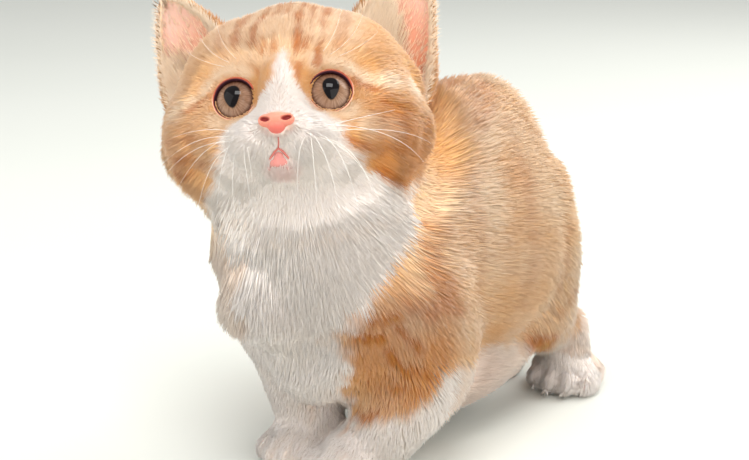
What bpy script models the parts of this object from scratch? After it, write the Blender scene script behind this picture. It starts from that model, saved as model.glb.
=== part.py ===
"""A munchkin kitten of about nine weeks, standing with its head turned up and to its left.

The whole animal is modelled as one closed form out to the tips of its coat: lofts and balls are
fused, smoothed and pressed into shape, and thin cuts then part it into the pieces that a person
would name. Ears, eyes and nose are separate pieces set into the head.

Lengths are in metres, with MM for a size in millimetres. +Z is up, +X is the kitten's left and
+Y runs from its face to its tail. The floor is Z = 0.
"""

import math

import bmesh
import bpy
import numpy as np
from mathutils import Matrix, Vector

MM = 0.001

# Driving dimensions, coat included
HEAD_WIDTH = 84 * MM
WHEELBASE = 116 * MM
FOREPAW_SPACING = 24 * MM
HINDPAW_SPACING = 31 * MM

# How the parts meet and how fine they are
GAP = 0.3 * MM
VOXEL = 1.3 * MM
HEAD_TRIANGLES = 2300
BODY_TRIANGLES = 4700

# The head: its centre, and the way the face points
HEAD_CENTRE = Vector((-16.6 * MM, 4.6 * MM, 116.9 * MM))
FACE_TURN = math.radians(36.5)
FACE_LIFT = math.radians(32)
HEAD_ROLL = math.radians(6)


def head_axes():
    """The head's left, back and up directions as the columns of a matrix."""
    turn = Matrix.Rotation(FACE_TURN, 3, "Z")
    lift = Matrix.Rotation(-FACE_LIFT, 3, "X")
    roll = Matrix.Rotation(-HEAD_ROLL, 3, "Y")
    return turn @ lift @ roll


HEAD_AXES = head_axes()


def on_head(left, front, up):
    """A place on the head, in world space, from its distances to the left, front and top."""
    return HEAD_CENTRE + HEAD_AXES @ Vector((left, -front, up))


# Places on the head, as left, front, up from its centre. Paired ones are given for the left side.
HALF_HEAD = HEAD_WIDTH / 2
EYE_PLACE = (13.1 * MM, 20.0 * MM, -7.0 * MM)
EYE_RADIUS = 8.4 * MM
CORNEA_RADIUS = 6.2 * MM
CORNEA_OUT = 3.0 * MM
LID_THICKNESS = 1.2 * MM
LID_OPENING = (6.1 * MM, 5.8 * MM)
GAZE_OUT = math.radians(10)
GAZE_UP = math.radians(-6)
NOSE_PLACE = (0.0, 41.4 * MM, -21.4 * MM)
NOSE_RADII = (4.4 * MM, 3.0 * MM, 2.8 * MM)
NOSTRIL = (2.9 * MM, 43.4 * MM, -21.4 * MM)
MOUTH_LINE = ((0, -27.3), (1.6, -28.2), (3.6, -29.4), (5.8, -30.2), (7.6, -30.3))
MOUTH_RADIUS = 0.6 * MM
CLAW_LENGTH = 4.2 * MM

# An ear's inner base, outer base and tip, in millimetres
EAR_LEFT = ((21, 2, 26), (42, -7, 5), (43.5, -4, 49))
EAR_RIGHT = ((-22, 2, 25), (-40.5, -6, 6), (-42.5, -4, 43))
EAR_CUP = 8.0 * MM
EAR_THICKNESS = 1.6 * MM

COAT_COLOURS = {
    "orange": (0.80, 0.47, 0.22, 1.0),
    "cream": (0.90, 0.80, 0.70, 1.0),
    "skin_pink": (0.83, 0.47, 0.38, 1.0),
    "eye": (0.42, 0.33, 0.22, 1.0),
}


def clear_scene():
    for obj in list(bpy.data.objects):
        bpy.data.objects.remove(obj)


def add_collection(name, hidden=False):
    made = bpy.data.collections.new(name)
    made.hide_render = hidden
    bpy.context.scene.collection.children.link(made)
    return made


def add_object(name, mesh, collection):
    obj = bpy.data.objects.new(name, mesh)
    collection.objects.link(obj)
    return obj


def make_materials():
    roughness = {"orange": 0.75, "cream": 0.75, "skin_pink": 0.5, "eye": 0.12}
    made = {}
    for name, colour in COAT_COLOURS.items():
        material = bpy.data.materials.new(name)
        material.use_nodes = True
        shader = material.node_tree.nodes["Principled BSDF"]
        shader.inputs["Base Color"].default_value = colour
        shader.inputs["Roughness"].default_value = roughness[name]
        shader.inputs["Metallic"].default_value = 0.0
        made[name] = material
    return made


# Shapes that the animal is fused from


def ball_mesh(name, centre, radii, axes=None, segments=24, rings=16):
    """An ellipsoid with its radii along the columns of axes."""
    shape = bmesh.new()
    bmesh.ops.create_uvsphere(shape, u_segments=segments, v_segments=rings, radius=1.0)
    turn = (axes or Matrix.Identity(3)).to_4x4()
    place = Matrix.Translation(Vector(centre)) @ turn @ Matrix.Diagonal((*radii, 1.0))
    bmesh.ops.transform(shape, matrix=place, verts=shape.verts)
    mesh = bpy.data.meshes.new(name)
    shape.to_mesh(mesh)
    shape.free()
    return mesh


def eased(rows, count):
    """The rows of numbers, resampled along a Catmull-Rom curve through them."""
    rows = np.asarray(rows, float)
    padded = np.vstack([2 * rows[0] - rows[1], rows, 2 * rows[-1] - rows[-2]])
    found = []
    for place in np.linspace(0, len(rows) - 1, count):
        first = min(int(place), len(rows) - 2)
        t = place - first
        a, b, c, d = padded[first : first + 4]
        cubic = -a + 3 * b - 3 * c + d
        square = 2 * a - 5 * b + 4 * c - d
        found.append(0.5 * (2 * b + (c - a) * t + square * t * t + cubic * t**3))
    return np.array(found)


def tube_mesh(name, stations, side, count=20, sides=24, caps=(25, 50, 72)):
    """A closed loft with rounded ends.

    A station is x, y, z, half the width along side, half the depth across it, and a taper that
    narrows the section towards its far side. caps are the angles of the rings that round the
    ends.
    """
    rows = eased(stations, count)
    centres = rows[:, :3]
    tangents = np.gradient(centres, axis=0)
    tangents /= np.linalg.norm(tangents, axis=1)[:, None]
    side = np.asarray(side, float)
    rings = []

    def ring(centre, tangent, wide, deep, taper):
        across = side - tangent * (side @ tangent)
        across /= np.linalg.norm(across)
        away = np.cross(across, tangent)
        angle = np.linspace(0, 2 * math.pi, sides, endpoint=False)
        reach = np.cos(angle) * (1 - taper * np.sin(angle))
        return centre + np.outer(reach * wide, across) + np.outer(np.sin(angle) * deep, away)

    def cap(row, tangent, outward):
        wide, deep = row[3], row[4]
        for degrees in caps:
            size, reach = math.cos(math.radians(degrees)), math.sin(math.radians(degrees))
            centre = row[:3] + outward * tangent * reach * min(wide, deep)
            yield ring(centre, tangent, wide * size, deep * size, row[5])

    rings += list(cap(rows[0], tangents[0], -1))[::-1]
    for row, tangent in zip(rows, tangents):
        rings.append(ring(row[:3], tangent, row[3], row[4], row[5]))
    rings += list(cap(rows[-1], tangents[-1], 1))
    first_tip = rows[0, :3] - tangents[0] * min(rows[0, 3:5])
    last_tip = rows[-1, :3] + tangents[-1] * min(rows[-1, 3:5])

    shape = bmesh.new()
    loops = [[shape.verts.new(point) for point in points] for points in rings]
    for low, high in zip(loops, loops[1:]):
        for k in range(sides):
            after = (k + 1) % sides
            shape.faces.new((low[k], low[after], high[after], high[k]))
    for loop, tip in ((loops[0], first_tip), (loops[-1], last_tip)):
        pole = shape.verts.new(tip)
        for k in range(sides):
            shape.faces.new((loop[k], loop[(k + 1) % sides], pole))
    bmesh.ops.recalc_face_normals(shape, faces=shape.faces)
    mesh = bpy.data.meshes.new(name)
    shape.to_mesh(mesh)
    shape.free()
    return mesh


def on_side(stations, hand):
    """Stations of the left side, or the same mirrored to the right for hand = -1."""
    return [(hand * x, *rest) for x, *rest in stations]


def in_mm(stations):
    """Stations given in millimetres, with a taper that has no unit, made metres."""
    return [tuple(value * MM for value in row[:5]) + (row[5],) for row in stations]


# The body. Each station is x, y, z, half width, half depth, taper, in millimetres.
TORSO = in_mm(
    (
        (-7, -14, 66, 18, 22, 0.0),
        (-6, -6, 66, 29, 31, 0.0),
        (-4, 6, 63, 36, 38, 0.0),
        (-2, 24, 63, 38, 39, 0.04),
        (0, 44, 66, 37, 41, 0.1),
        (1, 62, 70, 36, 46, 0.16),
        (1, 75, 76, 34, 46, 0.24),
        (1, 86, 76, 28, 38, 0.26),
        (1, 92, 76, 20, 27, 0.2),
    )
)
BELLY = in_mm(
    (
        (-2, 8, 38, 16, 16, 0.0),
        (-1, 24, 32, 23, 17, 0.0),
        (0, 40, 27, 28, 18, 0.0),
        (0, 60, 27, 28, 18.5, 0.0),
        (0, 76, 29, 25, 17, 0.0),
        (0, 88, 38, 18, 13, 0.0),
    )
)
BREAST_PLACE = Vector((-4 * MM, -1 * MM, 46 * MM))
BREAST_RADII = (20 * MM, 14 * MM, 24 * MM)
NECK = in_mm(
    (
        (-5, 10, 64, 34, 32, 0.0),
        (-8, 5, 80, 36, 33, 0.0),
        (-12, 4, 97, 34, 31, 0.0),
        (-14, 6, 112, 28, 27, 0.0),
    )
)
FORELEG_LEFT = in_mm(
    (
        (23, 16, 64, 16, 20, 0.0),
        (24, 20, 48, 17, 20, 0.0),
        (23, 19, 33, 16.5, 17, 0.0),
        (17.5, 13.5, 20, 14, 13, 0.0),
        (12, 12, 11, 12.5, 11, 0.0),
    )
)
FORELEG_RIGHT = in_mm(
    (
        (-24, 8, 64, 17, 20, 0.0),
        (-25, 8, 48, 18, 20, 0.0),
        (-21, 9, 34, 17, 16, 0.0),
        (-16.5, 8, 20, 13.5, 12.5, 0.0),
        (-13, 8, 11, 12, 10.5, 0.0),
    )
)
THIGH = in_mm(
    (
        (15, 78, 80, 19, 22, 0.0),
        (19, 82, 60, 17, 23, 0.0),
        (20, 88, 42, 13, 19, 0.0),
        (17, 99, 30, 10.5, 13, 0.0),
    )
)
FOOT = in_mm(
    (
        (16, 112, 25, 9, 9, 0.0),
        (15.5, 115, 14, 9, 9, 0.0),
        (15.5, 112, 9, 10, 8, 0.0),
    )
)
TAIL = in_mm(
    (
        (0, 80, 84, 12, 12, 0.0),
        (-2, 95, 82, 11.5, 11.5, 0.0),
        (-6, 107, 72, 10.5, 10.5, 0.0),
        (-10, 117, 58, 10, 10, 0.0),
        (-16, 127, 43, 9.5, 9.5, 0.0),
        (-25, 137, 29, 8.5, 8.5, 0.0),
        (-37, 145, 18, 7, 7, 0.0),
        (-50, 149, 13, 4.5, 4.5, 0.0),
    )
)


def head_ball(name, left, front, up, radii):
    """An ellipsoid on the head. radii are to the side, front and top."""
    return ball_mesh(name, on_head(left, front, up), radii, HEAD_AXES)


def head_pieces():
    """The skull, cheeks, muzzle and chin, coat included."""
    yield head_ball("crown", 2 * MM, -3 * MM, 1 * MM, (30 * MM, 36 * MM, 31 * MM))
    yield head_ball("bridge", 0, 27 * MM, -10 * MM, (8 * MM, 12 * MM, 14 * MM))
    yield head_ball("muzzle", 0, 26 * MM, -21 * MM, (16 * MM, 14 * MM, 10 * MM))
    yield head_ball("chin", 0, 27 * MM, -28.5 * MM, (8 * MM, 8 * MM, 6.5 * MM))
    yield head_ball("jaw", 0, 13 * MM, -21 * MM, (30 * MM, 21 * MM, 16 * MM))
    for hand in (-1, 1):
        skull = (27 * MM, 34 * MM, 29 * MM)
        yield head_ball("skull", hand * 11 * MM + MM, -4 * MM, 1 * MM, skull)
        temple = (16 * MM, 20 * MM, 16 * MM)
        yield head_ball("temple", hand * 24 * MM + MM, -3 * MM, 3 * MM, temple)
        cheek = (21 * MM, 25 * MM, 22 * MM)
        side = hand * (HALF_HEAD - cheek[0]) + MM
        yield head_ball("cheek", side, 3 * MM, -12 * MM, cheek)
        pad = (8.5 * MM, 8.5 * MM, 7.2 * MM)
        yield head_ball("whisker_pad", hand * 7.5 * MM, 31 * MM, -24 * MM, pad)


FOREPAW = {"width": 11.0, "length": 12.5, "height": 9.0, "toe": 5.0}
HINDPAW = {"width": 13.0, "length": 11.5, "height": 8.5, "toe": 5.2}
TOE_SPREAD = (-0.74, -0.26, 0.26, 0.74)
TOE_REACH = (0.6, 0.95, 0.95, 0.6)


def paw_axes(yaw):
    return Matrix.Rotation(math.radians(yaw), 3, "Z")


def paw_pieces(name, paw, place, yaw):
    """A palm with four toes in front of it, on the floor at place, turned by yaw degrees."""
    axes = paw_axes(yaw)
    wide, long, high, toe = (paw[key] * MM for key in ("width", "length", "height", "toe"))
    palm = place + Vector((0, 0, 0.8 * high))
    yield ball_mesh(name + "_palm", palm, (wide, long, high), axes)
    for spread, reach in zip(TOE_SPREAD, TOE_REACH):
        centre = place + axes @ Vector((spread * wide, -reach * long, toe * 0.88))
        yield ball_mesh(name + "_toe", centre, (0.74 * toe, 1.4 * toe, toe), axes)


# Each paw's place on the floor, and the degrees that it is turned by
FORELEGS = {1: FORELEG_LEFT, -1: FORELEG_RIGHT}
FOREPAWS = {
    1: (Vector((FOREPAW_SPACING / 2 - 2 * MM, 5 * MM, 0)), -4),
    -1: (Vector((-FOREPAW_SPACING / 2 - 2 * MM, 3.5 * MM, 0)), 12),
}
HINDPAWS = {
    1: (Vector((HINDPAW_SPACING / 2, WHEELBASE, 0)), 20),
    -1: (Vector((-HINDPAW_SPACING / 2, WHEELBASE - 6 * MM, 0)), 20),
}


def body_pieces():
    yield tube_mesh("torso", TORSO, (1, 0, 0), 28, 32)
    yield tube_mesh("belly", BELLY, (1, 0, 0), 18, 24)
    yield tube_mesh("neck", NECK, (1, 0, 0), 16, 28)
    yield ball_mesh("breast", BREAST_PLACE, BREAST_RADII)
    yield tube_mesh("tail", TAIL, (1, 0, 0), 24, 16)
    for hand in (-1, 1):
        yield tube_mesh("foreleg", FORELEGS[hand], (1, 0, 0), 18, 20)
        yield tube_mesh("thigh", on_side(THIGH, hand), (1, 0, 0), 16, 20)
        yield tube_mesh("foot", on_side(FOOT, hand), (1, 0, 0), 12, 16)
        yield from paw_pieces("forepaw", FOREPAW, *FOREPAWS[hand])
        yield from paw_pieces("hindpaw", HINDPAW, *HINDPAWS[hand])


# Working with meshes


def joined(name, meshes):
    """One mesh that holds all of these, which may overlap."""
    shape = bmesh.new()
    for mesh in meshes:
        shape.from_mesh(mesh)
        bpy.data.meshes.remove(mesh)
    mesh = bpy.data.meshes.new(name)
    shape.to_mesh(mesh)
    shape.free()
    return mesh


def settle(obj):
    """Applies the object's modifiers to its mesh."""
    bpy.context.view_layer.update()
    graph = bpy.context.evaluated_depsgraph_get()
    mesh = bpy.data.meshes.new_from_object(obj.evaluated_get(graph))
    old = obj.data
    obj.modifiers.clear()
    obj.data = mesh
    bpy.data.meshes.remove(old)
    return obj


def fuse(obj, voxel, smoothing):
    remesh = obj.modifiers.new("fuse", "REMESH")
    remesh.mode = "VOXEL"
    remesh.voxel_size = voxel
    smooth = obj.modifiers.new("soften", "SMOOTH")
    smooth.factor = 0.5
    smooth.iterations = smoothing
    return settle(obj)


def thin_out(obj, triangles):
    """Decimates the mesh to about so many triangles."""
    now = sum(len(face.vertices) - 2 for face in obj.data.polygons)
    fewer = obj.modifiers.new("fewer", "DECIMATE")
    fewer.ratio = min(1.0, triangles / now)
    fewer.use_collapse_triangulate = True
    return settle(obj)


def volume(mesh):
    shape = bmesh.new()
    shape.from_mesh(mesh)
    found = shape.calc_volume(signed=True)
    shape.free()
    return found


def combine(obj, other, operation):
    """A Boolean, done again with the other solver where the volume shows that it failed."""
    before, first = volume(obj.data), obj.data.copy()
    for solver in ("EXACT", "MANIFOLD"):
        cut = obj.modifiers.new(operation.lower(), "BOOLEAN")
        cut.operation = operation
        cut.object = other
        cut.solver = solver
        settle(obj)
        after = volume(obj.data)
        grew = after > before
        if after > 0 and grew == (operation == "UNION"):
            return obj
        print(obj.name, operation, other.name, "failed with the solver", solver)
        obj.data = first.copy()
    return obj


def keep_largest(obj):
    """Keeps the largest closed surface of a mesh, by its volume."""
    shape = bmesh.new()
    shape.from_mesh(obj.data)
    bmesh.ops.remove_doubles(shape, verts=shape.verts, dist=0.001 * MM)
    unseen, groups = set(shape.faces), []
    while unseen:
        group, edge_of = set(), [unseen.pop()]
        while edge_of:
            face = edge_of.pop()
            group.add(face)
            near = {other for edge in face.edges for other in edge.link_faces} & unseen
            unseen -= near
            edge_of.extend(near)
        groups.append(group)

    def size(group):
        total = 0.0
        for face in group:
            corners = [vert.co for vert in face.verts]
            for b, c in zip(corners[1:], corners[2:]):
                total += corners[0].dot(b.cross(c))
        return total

    groups.sort(key=size)
    loose = [face for group in groups[:-1] for face in group]
    bmesh.ops.delete(shape, geom=loose, context="FACES")
    lone = [vert for vert in shape.verts if not vert.link_faces]
    bmesh.ops.delete(shape, geom=lone, context="VERTS")
    shape.to_mesh(obj.data)
    shape.free()
    return obj


def copy_of(obj, name, collection):
    return add_object(name, obj.data.copy(), collection)


# Sculpting, by moving vertices near a named place


def pressed(points, centre, push, radii, axes=None):
    """The points, moved by push where they lie near centre, fading over radii."""
    turn = np.array(axes or Matrix.Identity(3))
    local = (points - np.array(centre)) @ turn / np.array(radii)
    weight = np.exp(-np.sum(local**2, axis=1))
    return points + weight[:, None] * np.array(push)


def sculpt_head(points):
    """Presses the eye hollows, the brow and the cheeks' lower edge into the fused form."""
    back = -(HEAD_AXES @ Vector((0, -1, 0)))
    eye_left, eye_front, eye_up = EYE_PLACE
    for hand in (-1, 1):
        eye = on_head(hand * eye_left, eye_front + EYE_RADIUS, eye_up)
        hollow = (9 * MM, 9 * MM, 8 * MM)
        points = pressed(points, eye, back * 2.6 * MM, hollow, HEAD_AXES)
        corner = on_head(hand * 8 * MM, 31 * MM, -13 * MM)
        points = pressed(points, corner, back * 1.5 * MM, (4 * MM, 6 * MM, 4 * MM), HEAD_AXES)
    return points


def sculpt_paws(points):
    """Presses the creases between the toes of each paw."""
    for paw, places in ((FOREPAW, FOREPAWS), (HINDPAW, HINDPAWS)):
        for place, yaw in places.values():
            axes = paw_axes(yaw)
            wide, long, toe = (paw[key] * MM for key in ("width", "length", "toe"))
            for spread, depth in ((-0.5, 1.1), (0.0, 1.3), (0.5, 1.1)):
                reach = long + (0.7 - 1.2 * abs(spread)) * toe
                crease = place + axes @ Vector((spread * wide, -reach, 1.5 * toe))
                push = axes @ Vector((0, 1, -0.7)) * depth * MM
                fade = (0.24 * toe, 1.1 * toe, 1.2 * toe)
                points = pressed(points, crease, push, fade, axes)
    return points


def vertex_places(mesh):
    places = np.empty(len(mesh.vertices) * 3)
    mesh.vertices.foreach_get("co", places)
    return places.reshape(-1, 3)


def soften_trunk(obj):
    """Smooths the joins between the limbs and the trunk, and leaves the face and the paws."""
    places = vertex_places(obj.data)
    on_face = (places - np.array(HEAD_CENTRE)) @ np.array(HEAD_AXES) / MM
    weight = np.clip((places[:, 2] / MM - 16) / 14, 0, 1)
    weight *= 1 - np.clip((-on_face[:, 1] - 8) / 10, 0, 1) * np.clip((on_face[:, 2] + 42) / 8, 0, 1)
    group = obj.vertex_groups.new(name="trunk")
    for index, share in enumerate(weight):
        if share > 0:
            group.add([index], float(share), "REPLACE")
    smooth = obj.modifiers.new("soften_trunk", "SMOOTH")
    smooth.factor = 0.5
    smooth.iterations = 24
    smooth.vertex_group = group.name
    settle(obj)
    obj.vertex_groups.clear()


def sculpt(obj):
    mesh = obj.data
    points = sculpt_paws(sculpt_head(vertex_places(mesh)))
    mesh.vertices.foreach_set("co", points.ravel())
    mesh.update()


def grown_skin(obj, name, collection):
    """A copy of the object with its surface moved outwards by the gap."""
    skin = copy_of(obj, name, collection)
    move = skin.modifiers.new("gap", "DISPLACE")
    move.strength = GAP
    move.mid_level = 0.0
    return settle(skin)


def box_object(name, centre, size, axes, collection):
    shape = bmesh.new()
    bmesh.ops.create_cube(shape, size=1.0)
    place = Matrix.Translation(centre) @ axes.to_4x4() @ Matrix.Diagonal((*size, 1.0))
    bmesh.ops.transform(shape, matrix=place, verts=shape.verts)
    mesh = bpy.data.meshes.new(name)
    shape.to_mesh(mesh)
    shape.free()
    return add_object(name, mesh, collection)


# Ears


def ear_mesh(name, inner, outer, tip):
    """A cupped sheet between an inner and an outer edge that meet at a rounded tip."""
    inner, outer, tip = (on_head(*(value * MM for value in place)) for place in (inner, outer, tip))
    back = -(HEAD_AXES @ Vector((0, -1, 0)))
    root = (inner + outer) / 2
    across = (outer - inner).normalized()
    columns, rows = 7, 6
    shape = bmesh.new()
    grid = []
    for row in range(rows):
        high = row / (rows - 1)
        rise = -0.28 + 1.28 * high
        half = 0.5 * (outer - inner).length * (1 - max(rise, 0.0) ** 1.5) ** 0.8
        half = max(half, 2.2 * MM)
        middle = root + (tip - root) * rise
        line = []
        for column in range(columns):
            place = 2 * column / (columns - 1) - 1
            cup = EAR_CUP * (1 - place * place) * (1 - 0.75 * max(rise, 0.0))
            line.append(shape.verts.new(middle + across * half * place + back * cup))
        grid.append(line)
    for low, high in zip(grid, grid[1:]):
        for k in range(columns - 1):
            shape.faces.new((low[k], low[k + 1], high[k + 1], high[k]))
    mesh = bpy.data.meshes.new(name)
    shape.to_mesh(mesh)
    shape.free()
    return mesh


def make_ear(name, places, head_skin, collection):
    ear = add_object(name, ear_mesh(name, *places), collection)
    thick = ear.modifiers.new("thickness", "SOLIDIFY")
    thick.thickness = EAR_THICKNESS
    thick.offset = 0.0
    soft = ear.modifiers.new("round", "SUBSURF")
    soft.levels = soft.render_levels = 1
    settle(ear)
    combine(ear, head_skin, "DIFFERENCE")
    return keep_largest(ear)


# The face


def gaze_axes(hand):
    """The head's axes turned so that front is the way an eye looks."""
    turn = Matrix.Rotation(hand * GAZE_OUT, 3, "Z") @ Matrix.Rotation(-GAZE_UP, 3, "X")
    return HEAD_AXES @ turn


def eye_centre(hand):
    left, front, up = EYE_PLACE
    return on_head(hand * left, front, up)


def eye_object(name, hand, grow, collection):
    """An eyeball with its raised cornea, grown by the gap when it is to cut its socket."""
    radius = EYE_RADIUS + grow
    axes = gaze_axes(hand)
    ball = add_object(name, ball_mesh(name, eye_centre(hand), (radius,) * 3, axes, 18, 12), collection)
    front = eye_centre(hand) + axes @ Vector((0, -CORNEA_OUT, 0))
    bulge = ball_mesh("cornea", front, (CORNEA_RADIUS + grow,) * 3, axes, 14, 10)
    cornea = add_object("cornea", bulge, collection)
    combine(ball, cornea, "UNION")
    bpy.data.objects.remove(cornea)
    return ball


def open_eye(head, hand, cutters):
    """Adds the lids to the head, opens them and clears the socket behind."""
    axes = gaze_axes(hand)
    centre = eye_centre(hand)
    lid = EYE_RADIUS + GAP + LID_THICKNESS
    lids = add_object("lids", ball_mesh("lids", centre, (lid,) * 3, axes, 22, 15), cutters)
    combine(head, lids, "UNION")
    wide, high = LID_OPENING
    reach = 1.2 * lid
    opening = [
        (*(axes @ Vector((0, 0, 0)) + centre), 0.8 * wide, 0.8 * high, 0.0),
        (*(axes @ Vector((0, -reach / 2, 0)) + centre), wide, high, 0.0),
        (*(axes @ Vector((0, -reach, 0)) + centre), 1.25 * wide, 1.25 * high, 0.0),
    ]
    mesh = tube_mesh("opening", opening, axes @ Vector((1, 0, 0)), 3, 20, caps=())
    between = add_object("opening", mesh, cutters)
    combine(head, between, "DIFFERENCE")
    socket = eye_object("socket", hand, GAP, cutters)
    combine(head, socket, "DIFFERENCE")
    for used in (lids, between, socket):
        bpy.data.objects.remove(used)


def nose_object(name, grow, collection):
    radii = [radius + grow for radius in NOSE_RADII]
    pad = ball_mesh("pad", on_head(*NOSE_PLACE), radii, HEAD_AXES, 14, 9)
    left, front, up = NOSE_PLACE
    wings = []
    for side, lower, size in ((-2.9, 0.4, 2.1), (2.9, 0.4, 2.1), (0.0, -2.2, 2.0)):
        place = on_head(side * MM, front - 0.3 * MM, up + lower * MM)
        wings.append(ball_mesh("wing", place, (size * MM + grow,) * 3, HEAD_AXES, 10, 7))
    nose = add_object(name, pad, collection)
    for wing in wings:
        side = add_object("wing", wing, collection)
        combine(nose, side, "UNION")
        bpy.data.objects.remove(side)
    return nose


def make_nose(collection, cutters):
    nose = nose_object("nose", 0.0, collection)
    left, front, up = NOSTRIL
    for hand in (-1, 1):
        size = (1.5 * MM, 2.2 * MM, 0.9 * MM)
        lean = HEAD_AXES @ Matrix.Rotation(math.radians(-18 * hand), 3, "Y")
        hole = ball_mesh("nostril", on_head(hand * left, front, up), size, lean, 10, 6)
        cutter = add_object("nostril", hole, cutters)
        combine(nose, cutter, "DIFFERENCE")
        bpy.data.objects.remove(cutter)
    return keep_largest(nose)


def on_face(head, left, up):
    """The place of the head's surface that is reached from the front at left and up."""
    start = on_head(left, 80 * MM, up)
    hit, place, normal, index = head.ray_cast(start, HEAD_AXES @ Vector((0, 1, 0)))
    return place


def cut_mouth(head, cutters):
    """Cuts the line of the mouth and the groove under the nose, and adds the lower lip."""
    lip = (4.2 * MM, 2.6 * MM, 1.6 * MM)
    place = on_face(head, 0, -30.8 * MM) - HEAD_AXES @ Vector((0, -1.6 * MM, 0))
    lower = add_object("lip", ball_mesh("lip", place, lip, HEAD_AXES, 12, 8), cutters)
    combine(head, lower, "UNION")
    bpy.data.objects.remove(lower)
    half = [(left * MM, up * MM) for left, up in MOUTH_LINE]
    line = [(-left, up) for left, up in half[:0:-1]] + half
    groove = [(0, NOSE_PLACE[2] - 2 * MM), half[0]]
    for places in (line, groove):
        rows = [(*on_face(head, *place), MOUTH_RADIUS, MOUTH_RADIUS, 0.0) for place in places]
        side = HEAD_AXES @ Vector((0, -1, 0))
        mesh = tube_mesh("mouth_line", rows, side, 2 * len(rows) + 1, 6, caps=())
        cutter = add_object("mouth_line", mesh, cutters)
        combine(head, cutter, "DIFFERENCE")
        bpy.data.objects.remove(cutter)


def add_claws(paw_obj, paw, place, yaw, cutters):
    axes = paw_axes(yaw)
    wide, long, toe = (paw[key] * MM for key in ("width", "length", "toe"))
    for spread, reach in zip(TOE_SPREAD, TOE_REACH):
        start = place + axes @ Vector((spread * wide, -reach * long - 0.6 * toe, 0.95 * toe))
        rows = []
        for share, radius in ((0.0, 0.9), (0.5, 0.8), (1.0, 0.45)):
            along = Vector((0, -CLAW_LENGTH * share, -0.45 * CLAW_LENGTH * share**2))
            rows.append((*(start + axes @ along), radius * MM, radius * MM, 0.0))
        mesh = tube_mesh("claw", rows, axes @ Vector((1, 0, 0)), 3, 6, caps=())
        claw = add_object("claw", mesh, cutters)
        combine(paw_obj, claw, "UNION")
        bpy.data.objects.remove(claw)


# Parting the fused form into its pieces


def region(name, stations, collection):
    """A rounded region that parts a limb from the body, and a copy of it grown by the gap."""
    inner = add_object(name, tube_mesh(name, stations, (1, 0, 0), 12, 18), collection)
    return inner, grown_skin(inner, name + "_wide", collection)


LEG_REGIONS = {
    "front_left_leg": in_mm(
        (
            (26, 17, 60, 13, 17, 0.0),
            (30, 20, 50, 18, 23, 0.0),
            (27.5, 19, 34, 21, 24, 0.0),
            (22, 15, 18, 18, 21, 0.0),
        )
    ),
    "front_right_leg": in_mm(
        (
            (-27, 10, 60, 13, 17, 0.0),
            (-30, 11, 50, 18, 23, 0.0),
            (-26.5, 11, 34, 21, 24, 0.0),
            (-22, 9, 18, 18, 21, 0.0),
        )
    ),
    "hind_left_leg": in_mm(
        (
            (22, 80, 74, 14, 19, 0.0),
            (25, 84, 58, 20, 26, 0.0),
            (25, 91, 40, 21, 26, 0.0),
            (20, 104, 22, 17, 22, 0.0),
            (17, 110, 4, 15, 23, 0.0),
        )
    ),
}
LEG_REGIONS["hind_right_leg"] = on_side(LEG_REGIONS["hind_left_leg"], -1)
TAIL_REGION = in_mm(
    (
        (-1, 98, 86, 12, 10, 0.0),
        (-4, 106, 79, 15, 13, 0.0),
        (-9, 117, 63, 14, 13, 0.0),
        (-16, 128, 46, 14, 13, 0.0),
        (-25, 138, 30, 12, 12, 0.0),
        (-38, 146, 18, 10, 10, 0.0),
        (-60, 152, 13, 8, 8, 0.0),
    )
)
# Where the forepaws part, left of the middle
FOREPAWS_PART = -2 * MM
# Regions cut out with flat sides, as outlines of y and z in millimetres
HEAD_OUTLINE = ((-100, 73), (40, 101), (52, 131), (52, 200), (-100, 200))
NECK_OUTLINE = ((-100, 36), (41, 97.5), (40, 101), (-100, 73))
FOREPAW_OUTLINE = ((-60, -10), (34.8, -10), (7, 20), (-60, 20))
HINDPAW_OUTLINE = ((80, -10), (180, -10), (180, 18), (80, 18))


def offset_outline(outline, grow):
    """A convex outline, counter-clockwise, with every side moved outwards by grow."""
    places = [Vector(place) for place in outline]
    moved = []
    for before, place, after in zip(places[-1:] + places[:-1], places, places[1:] + places[:1]):
        into = (place - before).normalized()
        out = (after - place).normalized()
        normals = np.array(((into.y, -into.x), (out.y, -out.x)))
        moved.append(place + Vector(np.linalg.solve(normals, (grow, grow))))
    return moved


def prism(name, outline, grow, collection, half_width=0.2):
    """The outline in y and z, grown and drawn out along x."""
    shape = bmesh.new()
    places = offset_outline([(y * MM, z * MM) for y, z in outline], grow)
    ends = []
    for x in (-half_width, half_width):
        ends.append([shape.verts.new((x, y, z)) for y, z in places])
    shape.faces.new(ends[0])
    shape.faces.new(ends[1][::-1])
    for k in range(len(places)):
        after = (k + 1) % len(places)
        shape.faces.new((ends[0][k], ends[0][after], ends[1][after], ends[1][k]))
    bmesh.ops.recalc_face_normals(shape, faces=shape.faces)
    mesh = bpy.data.meshes.new(name)
    shape.to_mesh(mesh)
    shape.free()
    return add_object(name, mesh, collection)


def taken(source, name, steps, collection):
    """A copy of source after some steps, each an operation and the object it is done with."""
    piece = copy_of(source, name, collection)
    for operation, other in steps:
        combine(piece, other, operation)
    return keep_largest(piece)


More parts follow.
